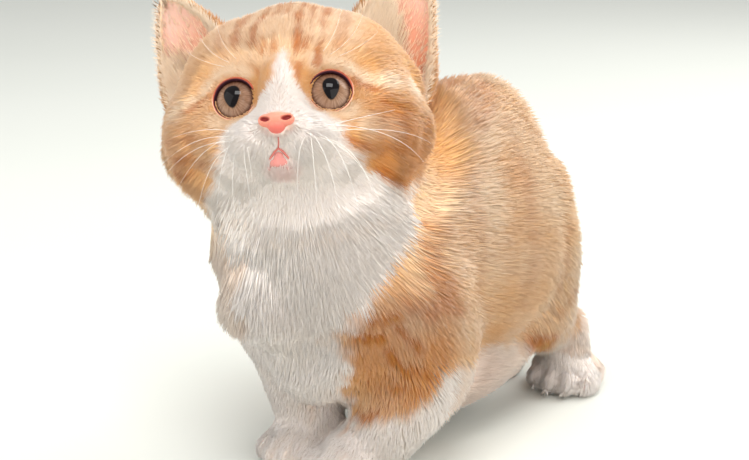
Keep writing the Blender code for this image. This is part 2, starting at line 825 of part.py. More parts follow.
def make_head(whole, head_box, kitten, cutters):
    """The head with its lids and mouth, and the eyes, ears and nose that sit in it."""
    loose = prism("loose_head", HEAD_OUTLINE, 4 * MM, cutters)
    head = taken(whole, "head", [("INTERSECT", loose)], kitten)
    thin_out(head, HEAD_TRIANGLES)
    combine(head, head_box, "INTERSECT")
    skin = grown_skin(head, "head_skin", cutters)
    made = {"head": head}
    made["ear_left"] = make_ear("ear_left", EAR_LEFT, skin, kitten)
    made["ear_right"] = make_ear("ear_right", EAR_RIGHT, skin, kitten)
    for name, hand in (("eye_left", 1), ("eye_right", -1)):
        open_eye(head, hand, cutters)
        made[name] = eye_object(name, hand, 0.0, kitten)
    cut_mouth(head, cutters)
    recess = nose_object("recess", GAP, cutters)
    combine(head, recess, "DIFFERENCE")
    made["nose"] = make_nose(kitten, cutters)
    keep_largest(head)
    return made


def make_body(body, head_wide, kitten, cutters):
    """The neck, torso, tail, legs and paws, parted from the fused body."""
    neck = prism("neck_region", NECK_OUTLINE, 0.0, cutters)
    neck_wide = prism("neck_wide", NECK_OUTLINE, GAP, cutters)
    tail, tail_wide = region("tail_region", TAIL_REGION, cutters)
    legs, wide = {}, {}
    for name, rows in LEG_REGIONS.items():
        legs[name], wide[name] = region(name + "_region", rows, cutters)
    forepaws = prism("forepaws_wide", FOREPAW_OUTLINE, GAP, cutters)
    without = [("DIFFERENCE", head_wide)]
    made = {"neck": taken(body, "neck", [("INTERSECT", neck), *without], kitten)}
    others = (neck_wide, tail_wide, forepaws, *wide.values())
    away = [*without, *(("DIFFERENCE", other) for other in others)]
    made["torso"] = taken(body, "torso", away, kitten)
    behind = [("DIFFERENCE", wide[name]) for name in ("hind_left_leg", "hind_right_leg")]
    made["tail"] = taken(body, "tail", [("INTERSECT", tail), *behind], kitten)
    halves = {}
    for hand in (-1, 1):
        middle = Vector((FOREPAWS_PART + hand * (0.1 + GAP / 2), 0, 0))
        size = (0.2, 0.6, 0.6)
        halves[hand] = box_object("half", middle, size, Matrix.Identity(3), cutters)
    for name, cutter in legs.items():
        front = name.startswith("front")
        hand = 1 if "left" in name else -1
        held = halves[hand] if front else cutter
        outline = FOREPAW_OUTLINE if front else HINDPAW_OUTLINE
        paw, place = (FOREPAW, FOREPAWS) if front else (HINDPAW, HINDPAWS)
        low = prism("paw_region", outline, 0.0, cutters)
        low_wide = prism("paw_wide", outline, GAP, cutters)
        above = [("INTERSECT", cutter), ("DIFFERENCE", low_wide)]
        made[name] = taken(body, name, above, kitten)
        paw_name = name.replace("_leg", "_paw")
        below = [("INTERSECT", held), ("INTERSECT", low)]
        made[paw_name] = taken(body, paw_name, below, kitten)
        add_claws(made[paw_name], paw, *place[hand], cutters)
    return made


def stand_on_origin(pieces):
    """Moves the pieces so that the middle of their box's underside is at the origin."""
    corners = [Vector(corner) for piece in pieces for corner in piece.bound_box]
    low = [min(corner[k] for corner in corners) for k in range(3)]
    high = [max(corner[k] for corner in corners) for k in range(3)]
    shift = Vector((-(low[0] + high[0]) / 2, -(low[1] + high[1]) / 2, -low[2]))
    for piece in pieces:
        piece.data.transform(Matrix.Translation(shift))
        piece.data.update()
    return shift


SURFACES = {"eye": "eye", "nose": "skin_pink", "ear": "skin_pink", "paw": "cream", "neck": "cream"}


def main():
    """Builds the kitten and returns how far it was moved to stand on the origin."""
    clear_scene()
    kitten = add_collection("kitten")
    cutters = add_collection("cutters", hidden=True)
    materials = make_materials()

    whole = add_object("whole", joined("whole", [*head_pieces(), *body_pieces()]), cutters)
    fuse(whole, VOXEL, 5)
    soften_trunk(whole)
    sculpt(whole)
    floor = box_object("floor", Vector((0, 0, -0.1)), (0.6, 0.6, 0.2), Matrix.Identity(3), cutters)
    head_box = prism("head_region", HEAD_OUTLINE, 0.0, cutters)
    head_wide = prism("head_wide", HEAD_OUTLINE, GAP, cutters)
    pieces = make_head(whole, head_box, kitten, cutters)
    body = thin_out(copy_of(whole, "body", cutters), BODY_TRIANGLES)
    combine(body, floor, "DIFFERENCE")
    pieces.update(make_body(body, head_wide, kitten, cutters))

    for name, piece in pieces.items():
        surface = next((SURFACES[key] for key in SURFACES if key in name.split("_")), "orange")
        piece.data.materials.clear()
        piece.data.materials.append(materials[surface])
        for polygon in piece.data.polygons:
            polygon.use_smooth = True
        print(name, sum(len(face.vertices) - 2 for face in piece.data.polygons), "triangles")
    for used in list(cutters.objects):
        bpy.data.objects.remove(used)
    bpy.data.collections.remove(cutters)
    return stand_on_origin(pieces.values())


SHIFT = main()
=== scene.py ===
# %% [markdown]
# # A munchkin kitten in Blender
# The CAD part gives the kitten's forms: head, neck, trunk, legs, tail, ears and eyes, all in metres.
# This file dresses it. One skin is grown through all the flesh, then markings, fur, eyes, lids, nose
# and whiskers are added. The frame comes first, because every piece is placed from it.

# %% Load the frame
import math

import bmesh
import bpy
import numpy as np
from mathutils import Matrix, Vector


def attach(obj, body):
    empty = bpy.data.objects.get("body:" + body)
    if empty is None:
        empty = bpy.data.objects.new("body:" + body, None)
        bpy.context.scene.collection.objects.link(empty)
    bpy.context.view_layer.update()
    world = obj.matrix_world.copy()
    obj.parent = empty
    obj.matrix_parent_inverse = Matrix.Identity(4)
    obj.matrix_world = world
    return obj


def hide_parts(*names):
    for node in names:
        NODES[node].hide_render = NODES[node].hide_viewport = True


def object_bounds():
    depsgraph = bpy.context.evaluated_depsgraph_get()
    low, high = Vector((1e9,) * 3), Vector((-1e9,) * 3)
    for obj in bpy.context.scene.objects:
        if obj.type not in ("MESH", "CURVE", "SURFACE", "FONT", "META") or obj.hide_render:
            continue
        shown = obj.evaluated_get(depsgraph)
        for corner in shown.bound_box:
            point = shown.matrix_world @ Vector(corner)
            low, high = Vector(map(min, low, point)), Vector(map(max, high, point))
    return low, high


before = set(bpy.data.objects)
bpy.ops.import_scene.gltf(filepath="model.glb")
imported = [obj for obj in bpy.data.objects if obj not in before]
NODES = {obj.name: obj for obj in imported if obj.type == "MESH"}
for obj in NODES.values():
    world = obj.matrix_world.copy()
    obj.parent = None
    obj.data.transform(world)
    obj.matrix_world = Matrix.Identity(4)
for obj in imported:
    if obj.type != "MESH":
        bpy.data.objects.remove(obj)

CAD_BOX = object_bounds()
print("nodes:", ", ".join(sorted(NODES)))
print("CAD box in mm:", [[round(value * 1000, 1) for value in corner] for corner in CAD_BOX])

# %% [markdown]
# ## Places on the kitten
# Sizes are easier to read in millimetres from a spot on the animal than in metres from the middle of
# the model. So places on the body are counted from the floor below the front paws, with x to the
# kitten's left, y towards the tail and z up, and places on the head as left, front and up from its middle.

# %% Body and head coordinates
MM = 0.001
ORIGIN = np.array((14.22, -57.513, 0.0))
HEAD_CENTRE = np.array((-16.6, 4.6, 116.9))


def turned(axis, degrees):
    """A rotation matrix about one axis."""
    cos = math.cos(math.radians(degrees))
    sin = math.sin(math.radians(degrees))
    first, second = {"X": (1, 2), "Y": (2, 0), "Z": (0, 1)}[axis]
    matrix = np.eye(3)
    matrix[first, first] = matrix[second, second] = cos
    matrix[first, second] = -sin
    matrix[second, first] = sin
    return matrix


# turned to the kitten's left, lifted and tilted
HEAD_AXES = turned("Z", 36.5) @ turned("X", -32) @ turned("Y", -6)


def on_head(places):
    """Body places of left, front, up places on the head."""
    places = np.asarray(places, float)
    return HEAD_CENTRE + (places * (1, -1, 1)) @ HEAD_AXES.T


def from_head(points):
    """Left, front, up places on the head of body places."""
    return ((points - HEAD_CENTRE) @ HEAD_AXES) * (1, -1, 1)


def in_metres(points):
    return (np.asarray(points, float) + ORIGIN) * MM


def in_body(points):
    return np.asarray(points, float) / MM - ORIGIN


print("nose tip in metres:", np.round(in_metres(on_head((0, 44.4, -21.4))), 4))

# %% [markdown]
# ## Camera, floor and light
# The camera stands in front and to one side, a little above, and looks slightly down. The floor is plain
# and pale. A real studio would use large soft boxes, because a small lamp makes hard, dark gaps between
# tufts, so wide area lamps and a bright world do it here. The upper front lamp also makes the glint in the
# eyes.

# %% Camera
VIEW_TURN = math.radians(42)
VIEW_DOWN = math.radians(15)
SENSOR_MM = 36
PHOTO_PIXELS = 749
FOCAL_PIXELS = 1340
camera_data = bpy.data.cameras.new("camera")
camera_data.lens = SENSOR_MM * FOCAL_PIXELS / PHOTO_PIXELS
camera_data.sensor_width = SENSOR_MM
camera = bpy.data.objects.new("camera", camera_data)
bpy.context.scene.collection.objects.link(camera)
camera.location = in_metres((280.5, -287.6, 188.0))
backwards = Vector((
    math.sin(VIEW_TURN) * math.cos(VIEW_DOWN),
    -math.cos(VIEW_TURN) * math.cos(VIEW_DOWN),
    math.sin(VIEW_DOWN),
))
camera.rotation_mode = "QUATERNION"
camera.rotation_quaternion = (-backwards).to_track_quat("-Z", "Y")
camera_data.clip_start = 0.01
bpy.context.scene.camera = camera
print("camera lens in mm:", round(camera_data.lens, 2))

# %% Helpers for materials and node trees
def rgb(red, green, blue):
    """A colour given as 0 to 255 display values, as linear values with alpha."""
    shares = [value / 255 for value in (red, green, blue)]
    linear = [s / 12.92 if s <= 0.04045 else ((s + 0.055) / 1.055) ** 2.4 for s in shares]
    return (*linear, 1.0)


def add_node(tree, kind, **settings):
    node = tree.nodes.new(kind)
    for key, value in settings.items():
        setattr(node, key, value)
    return node


def fill(tree, node, values):
    """Gives each numbered or named input a value, or wires another node's output to it."""
    for key, value in values.items():
        if isinstance(value, bpy.types.NodeSocket):
            tree.links.new(value, node.inputs[key])
        elif value is not None:
            node.inputs[key].default_value = value
    return node


def new_material(name, sockets):
    """A material with an empty tree, and its Principled shader with these values on its sockets."""
    material = bpy.data.materials.new(name)
    material.use_nodes = True
    tree = material.node_tree
    tree.nodes.clear()
    shader = fill(tree, add_node(tree, "ShaderNodeBsdfPrincipled"), sockets)
    fill(tree, add_node(tree, "ShaderNodeOutputMaterial"), {"Surface": shader.outputs[0]})
    return material, tree, shader


def attribute(tree, name, output="Fac"):
    """The output of an Attribute node that reads a value stored on the mesh."""
    return add_node(tree, "ShaderNodeAttribute", attribute_name=name).outputs[output]


def mixed(tree, share, first, second, blend="MIX"):
    """A colour mix. Each of the three may be a value or another node's output."""
    node = add_node(tree, "ShaderNodeMix", data_type="RGBA", blend_type=blend)
    return fill(tree, node, {0: share, 6: first, 7: second}).outputs[2]


def worked(tree, operation, first, second=0.0):
    """The output of a Math node on two values or outputs."""
    node = add_node(tree, "ShaderNodeMath", operation=operation)
    return fill(tree, node, {0: first, 1: second}).outputs[0]


def plus(tree, first, second):
    return worked(tree, "ADD", first, second)


def times(tree, first, second):
    return worked(tree, "MULTIPLY", first, second)


def ramp(tree, factor, stops):
    """A colour ramp with stops of a place and a colour's 0 to 255 display values."""
    node = add_node(tree, "ShaderNodeValToRGB")
    elements = node.color_ramp.elements
    while len(elements) < len(stops):
        elements.new(0.5)
    for element, (place, colour) in zip(elements, stops):
        element.position = place
        element.color = rgb(*colour)
    return fill(tree, node, {0: factor}).outputs[0]


def object_place(tree):
    return add_node(tree, "ShaderNodeTexCoord").outputs["Object"]


def noise(tree, size_mm, detail=3.0):
    """Noise with features of about this size, in Object coordinates."""
    node = add_node(tree, "ShaderNodeTexNoise")
    fill(tree, node, {"Scale": 1000 / size_mm, "Detail": detail, "Vector": object_place(tree)})
    return node.outputs["Fac"]


def bumped(tree, shader, height, strength, distance_mm):
    node = add_node(tree, "ShaderNodeBump")
    fill(tree, node, {"Strength": strength, "Distance": distance_mm * MM, "Height": height})
    fill(tree, shader, {"Normal": node.outputs[0]})


def painted(tree, shader, tone):
    fill(tree, shader, {"Base Color": tone})


print("helpers ready")

# %% Floor
floor_mesh = bpy.data.meshes.new("floor")
floor_shape = bmesh.new()
FLOOR_HALF = 6.0
bmesh.ops.create_grid(floor_shape, x_segments=1, y_segments=1, size=FLOOR_HALF)
floor_shape.to_mesh(floor_mesh)
floor_shape.free()
floor = bpy.data.objects.new("floor", floor_mesh)
bpy.context.scene.collection.objects.link(floor)
floor_look, floor_tree, floor_shader = new_material("pale_floor", {"Roughness": 0.7})
floor_tone = mixed(floor_tree, noise(floor_tree, 400), rgb(212, 216, 210), rgb(217, 220, 215))
painted(floor_tree, floor_shader, floor_tone)
floor_mesh.materials.append(floor_look)
print("floor is", 2 * FLOOR_HALF, "m wide")

# %% Lights


def soft_lamp(name, place, wide, high, power, colour):
    """A rectangular area lamp that faces the middle of the kitten."""
    data = bpy.data.lights.new(name, "AREA")
    data.shape = "RECTANGLE"
    data.size = wide
    data.size_y = high
    data.energy = power
    data.color = colour
    lamp = bpy.data.objects.new(name, data)
    lamp.location = place
    aim = Vector((0, 0, 0.08)) - Vector(place)
    lamp.rotation_euler = aim.to_track_quat("-Z", "Y").to_euler()
    bpy.context.scene.collection.objects.link(lamp)


soft_lamp("upper_light", (0.27, -0.34, 0.98), 0.50, 0.34, 5.2, (1.0, 0.985, 0.965))
soft_lamp("window_light", (-0.40, -1.0, 0.50), 1.2, 1.2, 5.4, (1.0, 0.97, 0.94))
soft_lamp("side_light", (1.0, -0.30, 0.40), 1.0, 1.0, 5.6, (1.0, 0.96, 0.92))
soft_lamp("back_light", (0.3, 0.9, 1.0), 0.9, 0.9, 13.0, (1.0, 0.98, 0.95))
world = bpy.data.worlds.new("studio")
world.use_nodes = True
backdrop = world.node_tree.nodes["Background"]
fill(world.node_tree, backdrop, {"Color": (1.0, 0.99, 0.975, 1.0), "Strength": 0.74})
bpy.context.scene.world = world
bpy.context.scene.view_settings.view_transform = "Standard"

# %% [markdown]
# ## One skin through all the flesh
# A real kitten has one skin, but the CAD part is cut into named nodes with hair-thin gaps. The copies of
# the flesh nodes are swollen a touch so that the gaps close, and a voxel remesh fuses them. Sculpting one
# body by hand would also do, but it would drift further from the CAD form. The skin is then pulled in by
# the coat's depth, because the tips of the fur are where the CAD surface is.

# %% Mesh helpers


def closed_copy(node):
    """A bmesh copy of a CAD node with its loose triangles merged."""
    shape = bmesh.new()
    shape.from_mesh(NODES[node].data)
    bmesh.ops.remove_doubles(shape, verts=shape.verts, dist=1e-6)
    shape.normal_update()
    return shape


def fetched(items, field, size=1, kind=np.float32):
    """One field of all of a mesh's points, edges, faces or values, as rows of this size."""
    flat = np.empty(len(items) * size, kind)
    items.foreach_get(field, flat)
    return flat.reshape(-1, size)


def unit(vectors):
    """Rows scaled to length 1."""
    return vectors / np.maximum(np.linalg.norm(vectors, axis=1), 1e-6)[:, None]


def oval_far(points, middle, halves):
    """How far out each point is in an oval with these half sizes: 1 is on its surface."""
    return np.linalg.norm((points - middle) / halves, axis=1)


def mesh_object(name, mesh):
    obj = bpy.data.objects.new(name, mesh)
    bpy.context.scene.collection.objects.link(obj)
    return obj


def mesh_of(name, points, faces, edges=()):
    """A mesh with these points, given in body mm."""
    mesh = bpy.data.meshes.new(name)
    mesh.from_pydata([tuple(point) for point in in_metres(points)], edges, faces)
    return mesh


def grid_faces(rows, columns, close_rows=False, close_columns=False, first=0):
    """Quads between the points of a grid laid row by row, with or without a join at its ends."""
    faces = []
    for row in range(rows if close_rows else rows - 1):
        here = first + row * columns
        above = first + (row + 1) % rows * columns
        for k in range(columns if close_columns else columns - 1):
            after = (k + 1) % columns
            faces.append((here + k, here + after, above + after, above + k))
    return faces


def settled(obj):
    """Makes the object's modifiers part of a plain mesh."""
    graph = bpy.context.evaluated_depsgraph_get()
    mesh = bpy.data.meshes.new_from_object(obj.evaluated_get(graph))
    obj.modifiers.clear()
    obj.data = mesh
    mesh.name = obj.name
    return obj


def remeshed(obj, voxel_mm):
    voxels = obj.modifiers.new("voxels", "REMESH")
    voxels.mode = "VOXEL"
    voxels.voxel_size = voxel_mm * MM
    return settled(obj)


def largest_part(obj):
    """Keeps only the object's largest joined surface."""
    shape = bmesh.new()
    shape.from_mesh(obj.data)
    left = set(shape.verts)
    parts = []
    while left:
        front = [left.pop()]
        part = list(front)
        while front:
            near = {edge.other_vert(vert) for vert in front for edge in vert.link_edges}
            front = list(near & left)
            left.difference_update(front)
            part.extend(front)
        parts.append(part)
    parts.sort(key=len)
    spare = [vert for part in parts[:-1] for vert in part]
    bmesh.ops.delete(shape, geom=spare, context="VERTS")
    shape.to_mesh(obj.data)
    shape.free()
    return obj


def fused(name, nodes, swell_mm, voxel_mm):
    """One closed mesh through several nodes, each swollen a little first."""
    whole = bmesh.new()
    for node in nodes:
        shape = closed_copy(node)
        for vert in shape.verts:
            vert.co += vert.normal * swell_mm * MM
        part = bpy.data.meshes.new("part")
        shape.to_mesh(part)
        shape.free()
        whole.from_mesh(part)
        bpy.data.meshes.remove(part)
    mesh = bpy.data.meshes.new(name)
    whole.to_mesh(mesh)
    whole.free()
    return largest_part(remeshed(mesh_object(name, mesh), voxel_mm))


print("mesh helpers ready")

# %% Reading and smoothing points


def points_of(mesh):
    """The mesh's vertices as body places in mm."""
    return in_body(fetched(mesh.vertices, "co", 3))


NEAR_MM = 2.0


def put_points(mesh, points):
    mesh.vertices.foreach_set("co", in_metres(points).ravel())
    mesh.update()


def edges_of(mesh):
    return fetched(mesh.edges, "vertices", 2, int)


def corners_of(mesh):
    """The four vertex numbers of each face of a mesh of quads."""
    return fetched(mesh.polygons, "vertices", 4, int)


def relaxed(values, ends, rounds, strength=0.5):
    """Each vertex's values moved towards the mean of its neighbours', some rounds over."""
    values = values.reshape(len(values), -1)
    strength = np.broadcast_to(np.asarray(strength, float).reshape(-1, 1), (len(values), 1))
    count = np.maximum(np.bincount(ends.ravel(), minlength=len(values)), 1)[:, None]
    for _ in range(rounds):
        total = np.empty_like(values)
        for column in range(values.shape[1]):
            near = np.bincount(ends[:, 0], values[ends[:, 1], column], len(values))
            far = np.bincount(ends[:, 1], values[ends[:, 0], column], len(values))
            total[:, column] = near + far
        values = values + strength * (total / count - values)
    return values


def normals_of(mesh, points):
    """Outward vertex normals of a mesh of quads with these points."""
    corners = corners_of(mesh)
    quads = points[corners]
    facing = np.cross(quads[:, 2] - quads[:, 0], quads[:, 3] - quads[:, 1])
    facing = np.repeat(facing, 4, axis=0)
    sums = [np.bincount(corners.ravel(), facing[:, k], len(points)) for k in range(3)]
    return unit(np.stack(sums, axis=1))


def faced_out(mesh):
    """Turns the mesh's faces outward and shades them smooth."""
    shape = bmesh.new()
    shape.from_mesh(mesh)
    bmesh.ops.recalc_face_normals(shape, faces=shape.faces)
    shape.to_mesh(mesh)
    shape.free()
    mesh.shade_smooth()


def finer(obj):
    """One level of subdivision, made part of the mesh."""
    soft = obj.modifiers.new("soft", "SUBSURF")
    soft.levels = soft.render_levels = 1
    return settled(obj)


def hand_over(piece, slot, *nodes):
    """Tells the frame what carries the piece, and hides the nodes that it stands for. The slot is not used.
    """
    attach(piece, "root")
    if nodes:
        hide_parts(*nodes)


def blended(points, anchors):
    """Values of the nearest anchors, blended by distance. Anchors are (place, value) pairs."""
    places = np.array([place for place, value in anchors], float)
    values = np.array([value for place, value in anchors], float).reshape(len(anchors), -1)
    total = np.zeros((len(points), values.shape[1]))
    weights = np.zeros((len(points), 1))
    for place, value in zip(places, values):
        weight = (np.sum((points - place) ** 2, axis=1)[:, None] + NEAR_MM**2) ** -2.0
        total += weight * value
        weights += weight
    return total / weights


def eased(low, high, values):
    """0 below low, 1 above high, and a smooth step between."""
    share = np.clip((values - low) / (high - low), 0, 1)
    return share * share * (3 - 2 * share)


print("point helpers ready")

# %% [markdown]
# ## How deep the coat is
# A kitten's fur is a millimetre or less on the bridge of the nose and over half a centimetre on the cheeks
# and chest. A painted weight map could hold this. A short list of places, each with a depth, blended by
# distance, is easier to change, and it gives every skin point a depth without a picture.

# %% Coat depths
HEAD_DEPTHS = [
    ((0, 41, -21), 0.4), ((0, 38, -12), 0.7), ((6, 34, -15), 0.8), ((0, 34, -3), 1.2), ((0, 30, 8), 2.0),
    ((0, 22, 21), 2.6), ((10, 28, 8), 2.0), ((18, 25, 7), 2.2), ((0, 0, 38), 3.2), ((18, 4, 32), 2.8),
    ((0, -24, 26), 4.0), ((0, -38, 2), 5.0), ((31, 17, 1), 2.4), ((38, 4, -2), 4.0), ((37, 10, -15), 4.2),
    ((30, 22, -17), 2.6), ((24, 18, -29), 4.0), ((34, -2, -27), 6.0), ((34, -16, -14), 5.5),
    ((8, 37, -23), 1.1), ((9, 33, -29), 1.4), ((0, 34, -33), 1.4), ((0, 22, -39), 3.5), ((0, 6, -43), 5.5),
    ((13, 30, -17), 1.2), ((21, 27, -13), 1.4), ((31, 0, 22), 2.0), ((18, 28, -26), 2.2),
]
BODY_DEPTHS = [
    ((-12, -20, 86), 6.0), ((-8, -27, 70), 6.2), ((-4, -23, 54), 5.6), ((-3, -15, 42), 4.6),
    ((-3, -11, 28), 3.2), ((30, 6, 78), 5.0), ((-32, 4, 76), 5.0), ((37, 45, 65), 5.0), ((-37, 45, 65), 5.0),
    ((0, 40, 113), 5.0), ((0, 74, 112), 5.0), ((0, 98, 94), 4.0), ((35, 88, 52), 4.5), ((-35, 88, 52), 4.5),
    ((0, 50, 12), 4.2), ((22, 50, 18), 4.2), ((-22, 50, 18), 4.2), ((30, -2, 54), 3.6), ((-28, -6, 54), 3.6),
    ((35, 14, 44), 3.6), ((-33, 12, 44), 3.6), ((24, -2, 32), 2.6), ((-22, -4, 32), 2.6), ((15, 0, 18), 1.9),
    ((-16, -3, 18), 1.9), ((10, -6, 7), 1.0), ((-14, -8, 7), 1.0), ((10, 5, 2), 0.9), ((-14, 4, 2), 0.9),
    ((16, 106, 7), 1.2), ((-16, 100, 7), 1.2), ((20, 112, 22), 2.4), ((-20, 106, 22), 2.4),
    ((26, 96, 28), 3.0), ((-26, 92, 28), 3.0), ((-6, 107, 72), 3.0), ((-16, 127, 43), 2.8),
    ((-34, 144, 21), 2.2), ((-50, 149, 13), 1.6),
]
DEPTHS = []
for (left, front, up), depth in HEAD_DEPTHS:
    for hand in (1, -1) if left else (1,):
        DEPTHS.append((on_head((hand * left, front, up)), depth))
DEPTHS += BODY_DEPTHS
EYE_PLACES = {"left": (13.1, 20.0, -7.0), "right": (-13.1, 20.0, -7.0)}
GAZE = {
    "left": HEAD_AXES @ turned("Z", 10) @ turned("X", 6),
    "right": HEAD_AXES @ turned("Z", -10) @ turned("X", 6),
}


def round_the_eye(points, side):
    """Distance from the line of sight and height along it, in mm."""
    local = (points - on_head(EYE_PLACES[side])) @ GAZE[side]
    return np.hypot(local[:, 0], local[:, 2]), -local[:, 1]


def coat_depth(points):
    depth = blended(points, DEPTHS)[:, 0]
    for side in EYE_PLACES:
        aside, ahead = round_the_eye(points, side)
        near = (1 - eased(8.0, 12.0, aside)) * (ahead > 0)
        depth = depth * (1 - near) + 0.9 * near
    return depth


print("depth places:", len(DEPTHS))

# %% Grow the skin
FLESH = [
    "head", "neck", "torso", "tail", "front_left_leg", "front_right_leg", "hind_left_leg",
    "hind_right_leg", "front_left_paw", "front_right_paw", "hind_left_paw", "hind_right_paw",
]
SWELL_MM = 0.22
VOXEL_MM = 1.02
skin = fused("skin", FLESH + ["eye_left", "eye_right", "nose"], SWELL_MM, VOXEL_MM)
skin_ends = edges_of(skin.data)
skin_points = points_of(skin.data)
print("skin faces:", len(skin.data.polygons))


def firmness(points):
    """How strongly each place is smoothed: little on the muzzle and paws, fully on the trunk."""
    local = from_head(points)
    muzzle = eased(24, 30, local[:, 1]) * eased(-46, -40, local[:, 2])
    paws = 1 - eased(14, 26, points[:, 2])
    return 0.5 * (1 - 0.7 * np.maximum(muzzle, paws))


skin_points = relaxed(skin_points, skin_ends, 8, firmness(skin_points))
SHRINK_STEPS = 6
SOCKET_RADIUS = 7.2
NOSE_HOLLOW = 2.6
step_depth = coat_depth(skin_points)
for step in range(SHRINK_STEPS):
    inward = normals_of(skin.data, skin_points)
    skin_points = skin_points - inward * step_depth[:, None] / SHRINK_STEPS
    skin_points = relaxed(skin_points, skin_ends, 2, firmness(skin_points))
for side in EYE_PLACES:
    aside, ahead = round_the_eye(skin_points, side)
    inside = (1 - eased(6.4, 7.4, aside)) * (ahead > 0)
    eye_middle = on_head(EYE_PLACES[side])
    out = skin_points - eye_middle
    length = np.linalg.norm(out, axis=1)[:, None]
    sunk = eye_middle + out / length * np.minimum(length, SOCKET_RADIUS)
    skin_points = skin_points * (1 - inside[:, None]) + sunk * inside[:, None]
HEAD_FRONT = HEAD_AXES @ (0, -1, 0)
nose_far = oval_far(from_head(skin_points), (0, 42.5, -21.6), (5.6, 5.0, 4.2))
skin_points -= np.outer(NOSE_HOLLOW * (1 - eased(0.5, 1.1, nose_far)), HEAD_FRONT)
skin_points[:, 2] = np.maximum(skin_points[:, 2], 0.0)
put_points(skin.data, skin_points)
skin_normals = normals_of(skin.data, skin_points)
skin_depth = relaxed(coat_depth(skin_points), skin_ends, 4)[:, 0]
print("coat depth from", skin_depth.min().round(2), "to", skin_depth.max().round(2), "mm")

# %% [markdown]
# ## Markings
# The kitten is orange and white. Its white runs in a narrow blaze down the forehead, spreads over the
# muzzle, and covers the chin, chest, belly and feet. The orange carries the pale and dark bars of a tabby. A
# painted picture is the usual way, but a picture can't be read at the root of each tuft as easily, so
# each marking is a number on the skin's points, made from a few lines and edges. Skin and fur both read it.

# %% Marking helpers
marking_chance = np.random.default_rng(11)
WAVES = [
    (marking_chance.normal(size=3), marking_chance.uniform(0, 6.28), marking_chance.uniform(0.6, 1.6))
    for _ in range(10)
]


def ripple(points, size):
    """Soft seeded unevenness between about -1 and 1, with features of this size in mm."""
    total = np.zeros(len(points))
    for direction, phase, rate in WAVES:
        heading = direction / np.linalg.norm(direction)
        total += np.sin(points @ heading * rate * 6.28 / size + phase)
    return total / 3.2


def near_line(points, path):
    """Distance from each point to a bent line, in mm."""
    path = np.asarray(path, float)
    best = np.full(len(points), 1e9)
    for start, end in zip(path[:-1], path[1:]):
        run = end - start
        share = np.clip((points - start) @ run / (run @ run), 0, 1)
        best = np.minimum(best, np.linalg.norm(points - start - share[:, None] * run, axis=1))
    return best


def bars(points, lines, wobble):
    """The strongest of several soft bars. Each line is (path, half width, strength)."""
    mark = np.zeros(len(points))
    for path, width, strength in lines:
        gap = near_line(points, path) + wobble
        mark = np.maximum(mark, strength * (1 - eased(0.45 * width, 1.5 * width, gap)))
    return mark


print("waves:", len(WAVES))

# %% Head markings
BLAZE_UP = (-36, -33, -30, -28, -24, -20, -18, -16, -13.5, -11, -8.7, -6, -2, 2, 6, 9)
BLAZE_HALF = (40, 30, 25, 21, 20, 18.5, 17, 14, 10.5, 7.5, 4.6, 2.5, 1.5, 0.9, 0.3, -1.0)
CHEEK_LEFT = (0, 17.7, 19.4, 21.8, 25, 29, 34.8, 39.3, 43)
CHEEK_EDGE = (-24, -26.8, -28, -30, -31.5, -33, -31, -25, -18)
HEAD_BARS = [
    ([(-8, 29.5, 8), (-4.5, 22.5, 21.7), (-3, 10, 33)], 1.3, 0.85),
    ([(-5.5, 31, 5), (-0.8, 24, 20.5), (0, 12, 32)], 1.1, 0.7),
    ([(-2.6, 32, 4), (2.3, 24, 21), (3, 12, 32)], 1.0, 0.6),
    ([(5.2, 32, 4), (6, 25, 19.5), (7, 12, 32)], 1.3, 0.9),
    ([(8.2, 31, 5.5), (9.3, 25, 18.5), (11, 12, 31)], 1.1, 0.75),
    ([(11.3, 30, 1), (12.8, 24, 18), (15, 12, 29)], 1.4, 0.8),
    ([(-13.4, 27.8, 9), (-11, 20, 22), (-9, 9, 32)], 1.7, 0.7),
    ([(-18, 26, 8), (-17, 17, 22)], 1.8, 0.4),
    ([(18, 27, 8), (19, 17, 23)], 1.8, 0.45),
    ([(20, 26.4, -4.5), (27.3, 25, -7.2), (33, 21, -11), (38, 14, -13)], 1.3, 0.75),
    ([(-20, 26.4, -4.5), (-27, 25, -8), (-33, 20, -12)], 1.3, 0.7),
    ([(29.9, 25.7, -11.4), (34, 23, -12), (38, 18, -13), (41, 12.5, -13.4), (42, 2, -14)], 1.5, 0.8),
    ([(32.7, 24, -12.6), (34, 22.6, -17), (34.6, 20, -20.6), (36, 15.5, -23.7)], 1.5, 0.75),
    ([(18, 29, -24), (24.6, 23.4, -25), (28.8, 20.5, -25.6), (33, 18.7, -24), (36.6, 15.7, -22.5)], 1.6, 0.7),
    ([(24.7, 19.7, -28.4), (28, 15, -30), (31.6, 9.8, -30.7), (35, 5.6, -29), (37.6, 4.4, -26)], 1.8, 0.85),
    ([(-33, 18.5, -22), (-29, 20.7, -24), (-24.6, 22.6, -26)], 1.9, 0.7),
    ([(-36, 12, -21), (-30, 16, -27)], 1.8, 0.8),
    ([(-23, 26, -19.6), (-29, 24, -18), (-35, 19, -16)], 1.3, 0.5),
    ([(38, -2, 6), (40, -6, -4), (38, -12, -16)], 3.0, 0.5),
    ([(-38, -2, 6), (-40, -6, -4), (-38, -12, -16)], 3.0, 0.5),
    ([(-6.5, 30, -0.6), (-8.2, 28.5, 2.2)], 1.4, 0.5),
    ([(5.2, 32.6, -4.6), (6.2, 31.8, 0)], 1.5, 0.7),
]
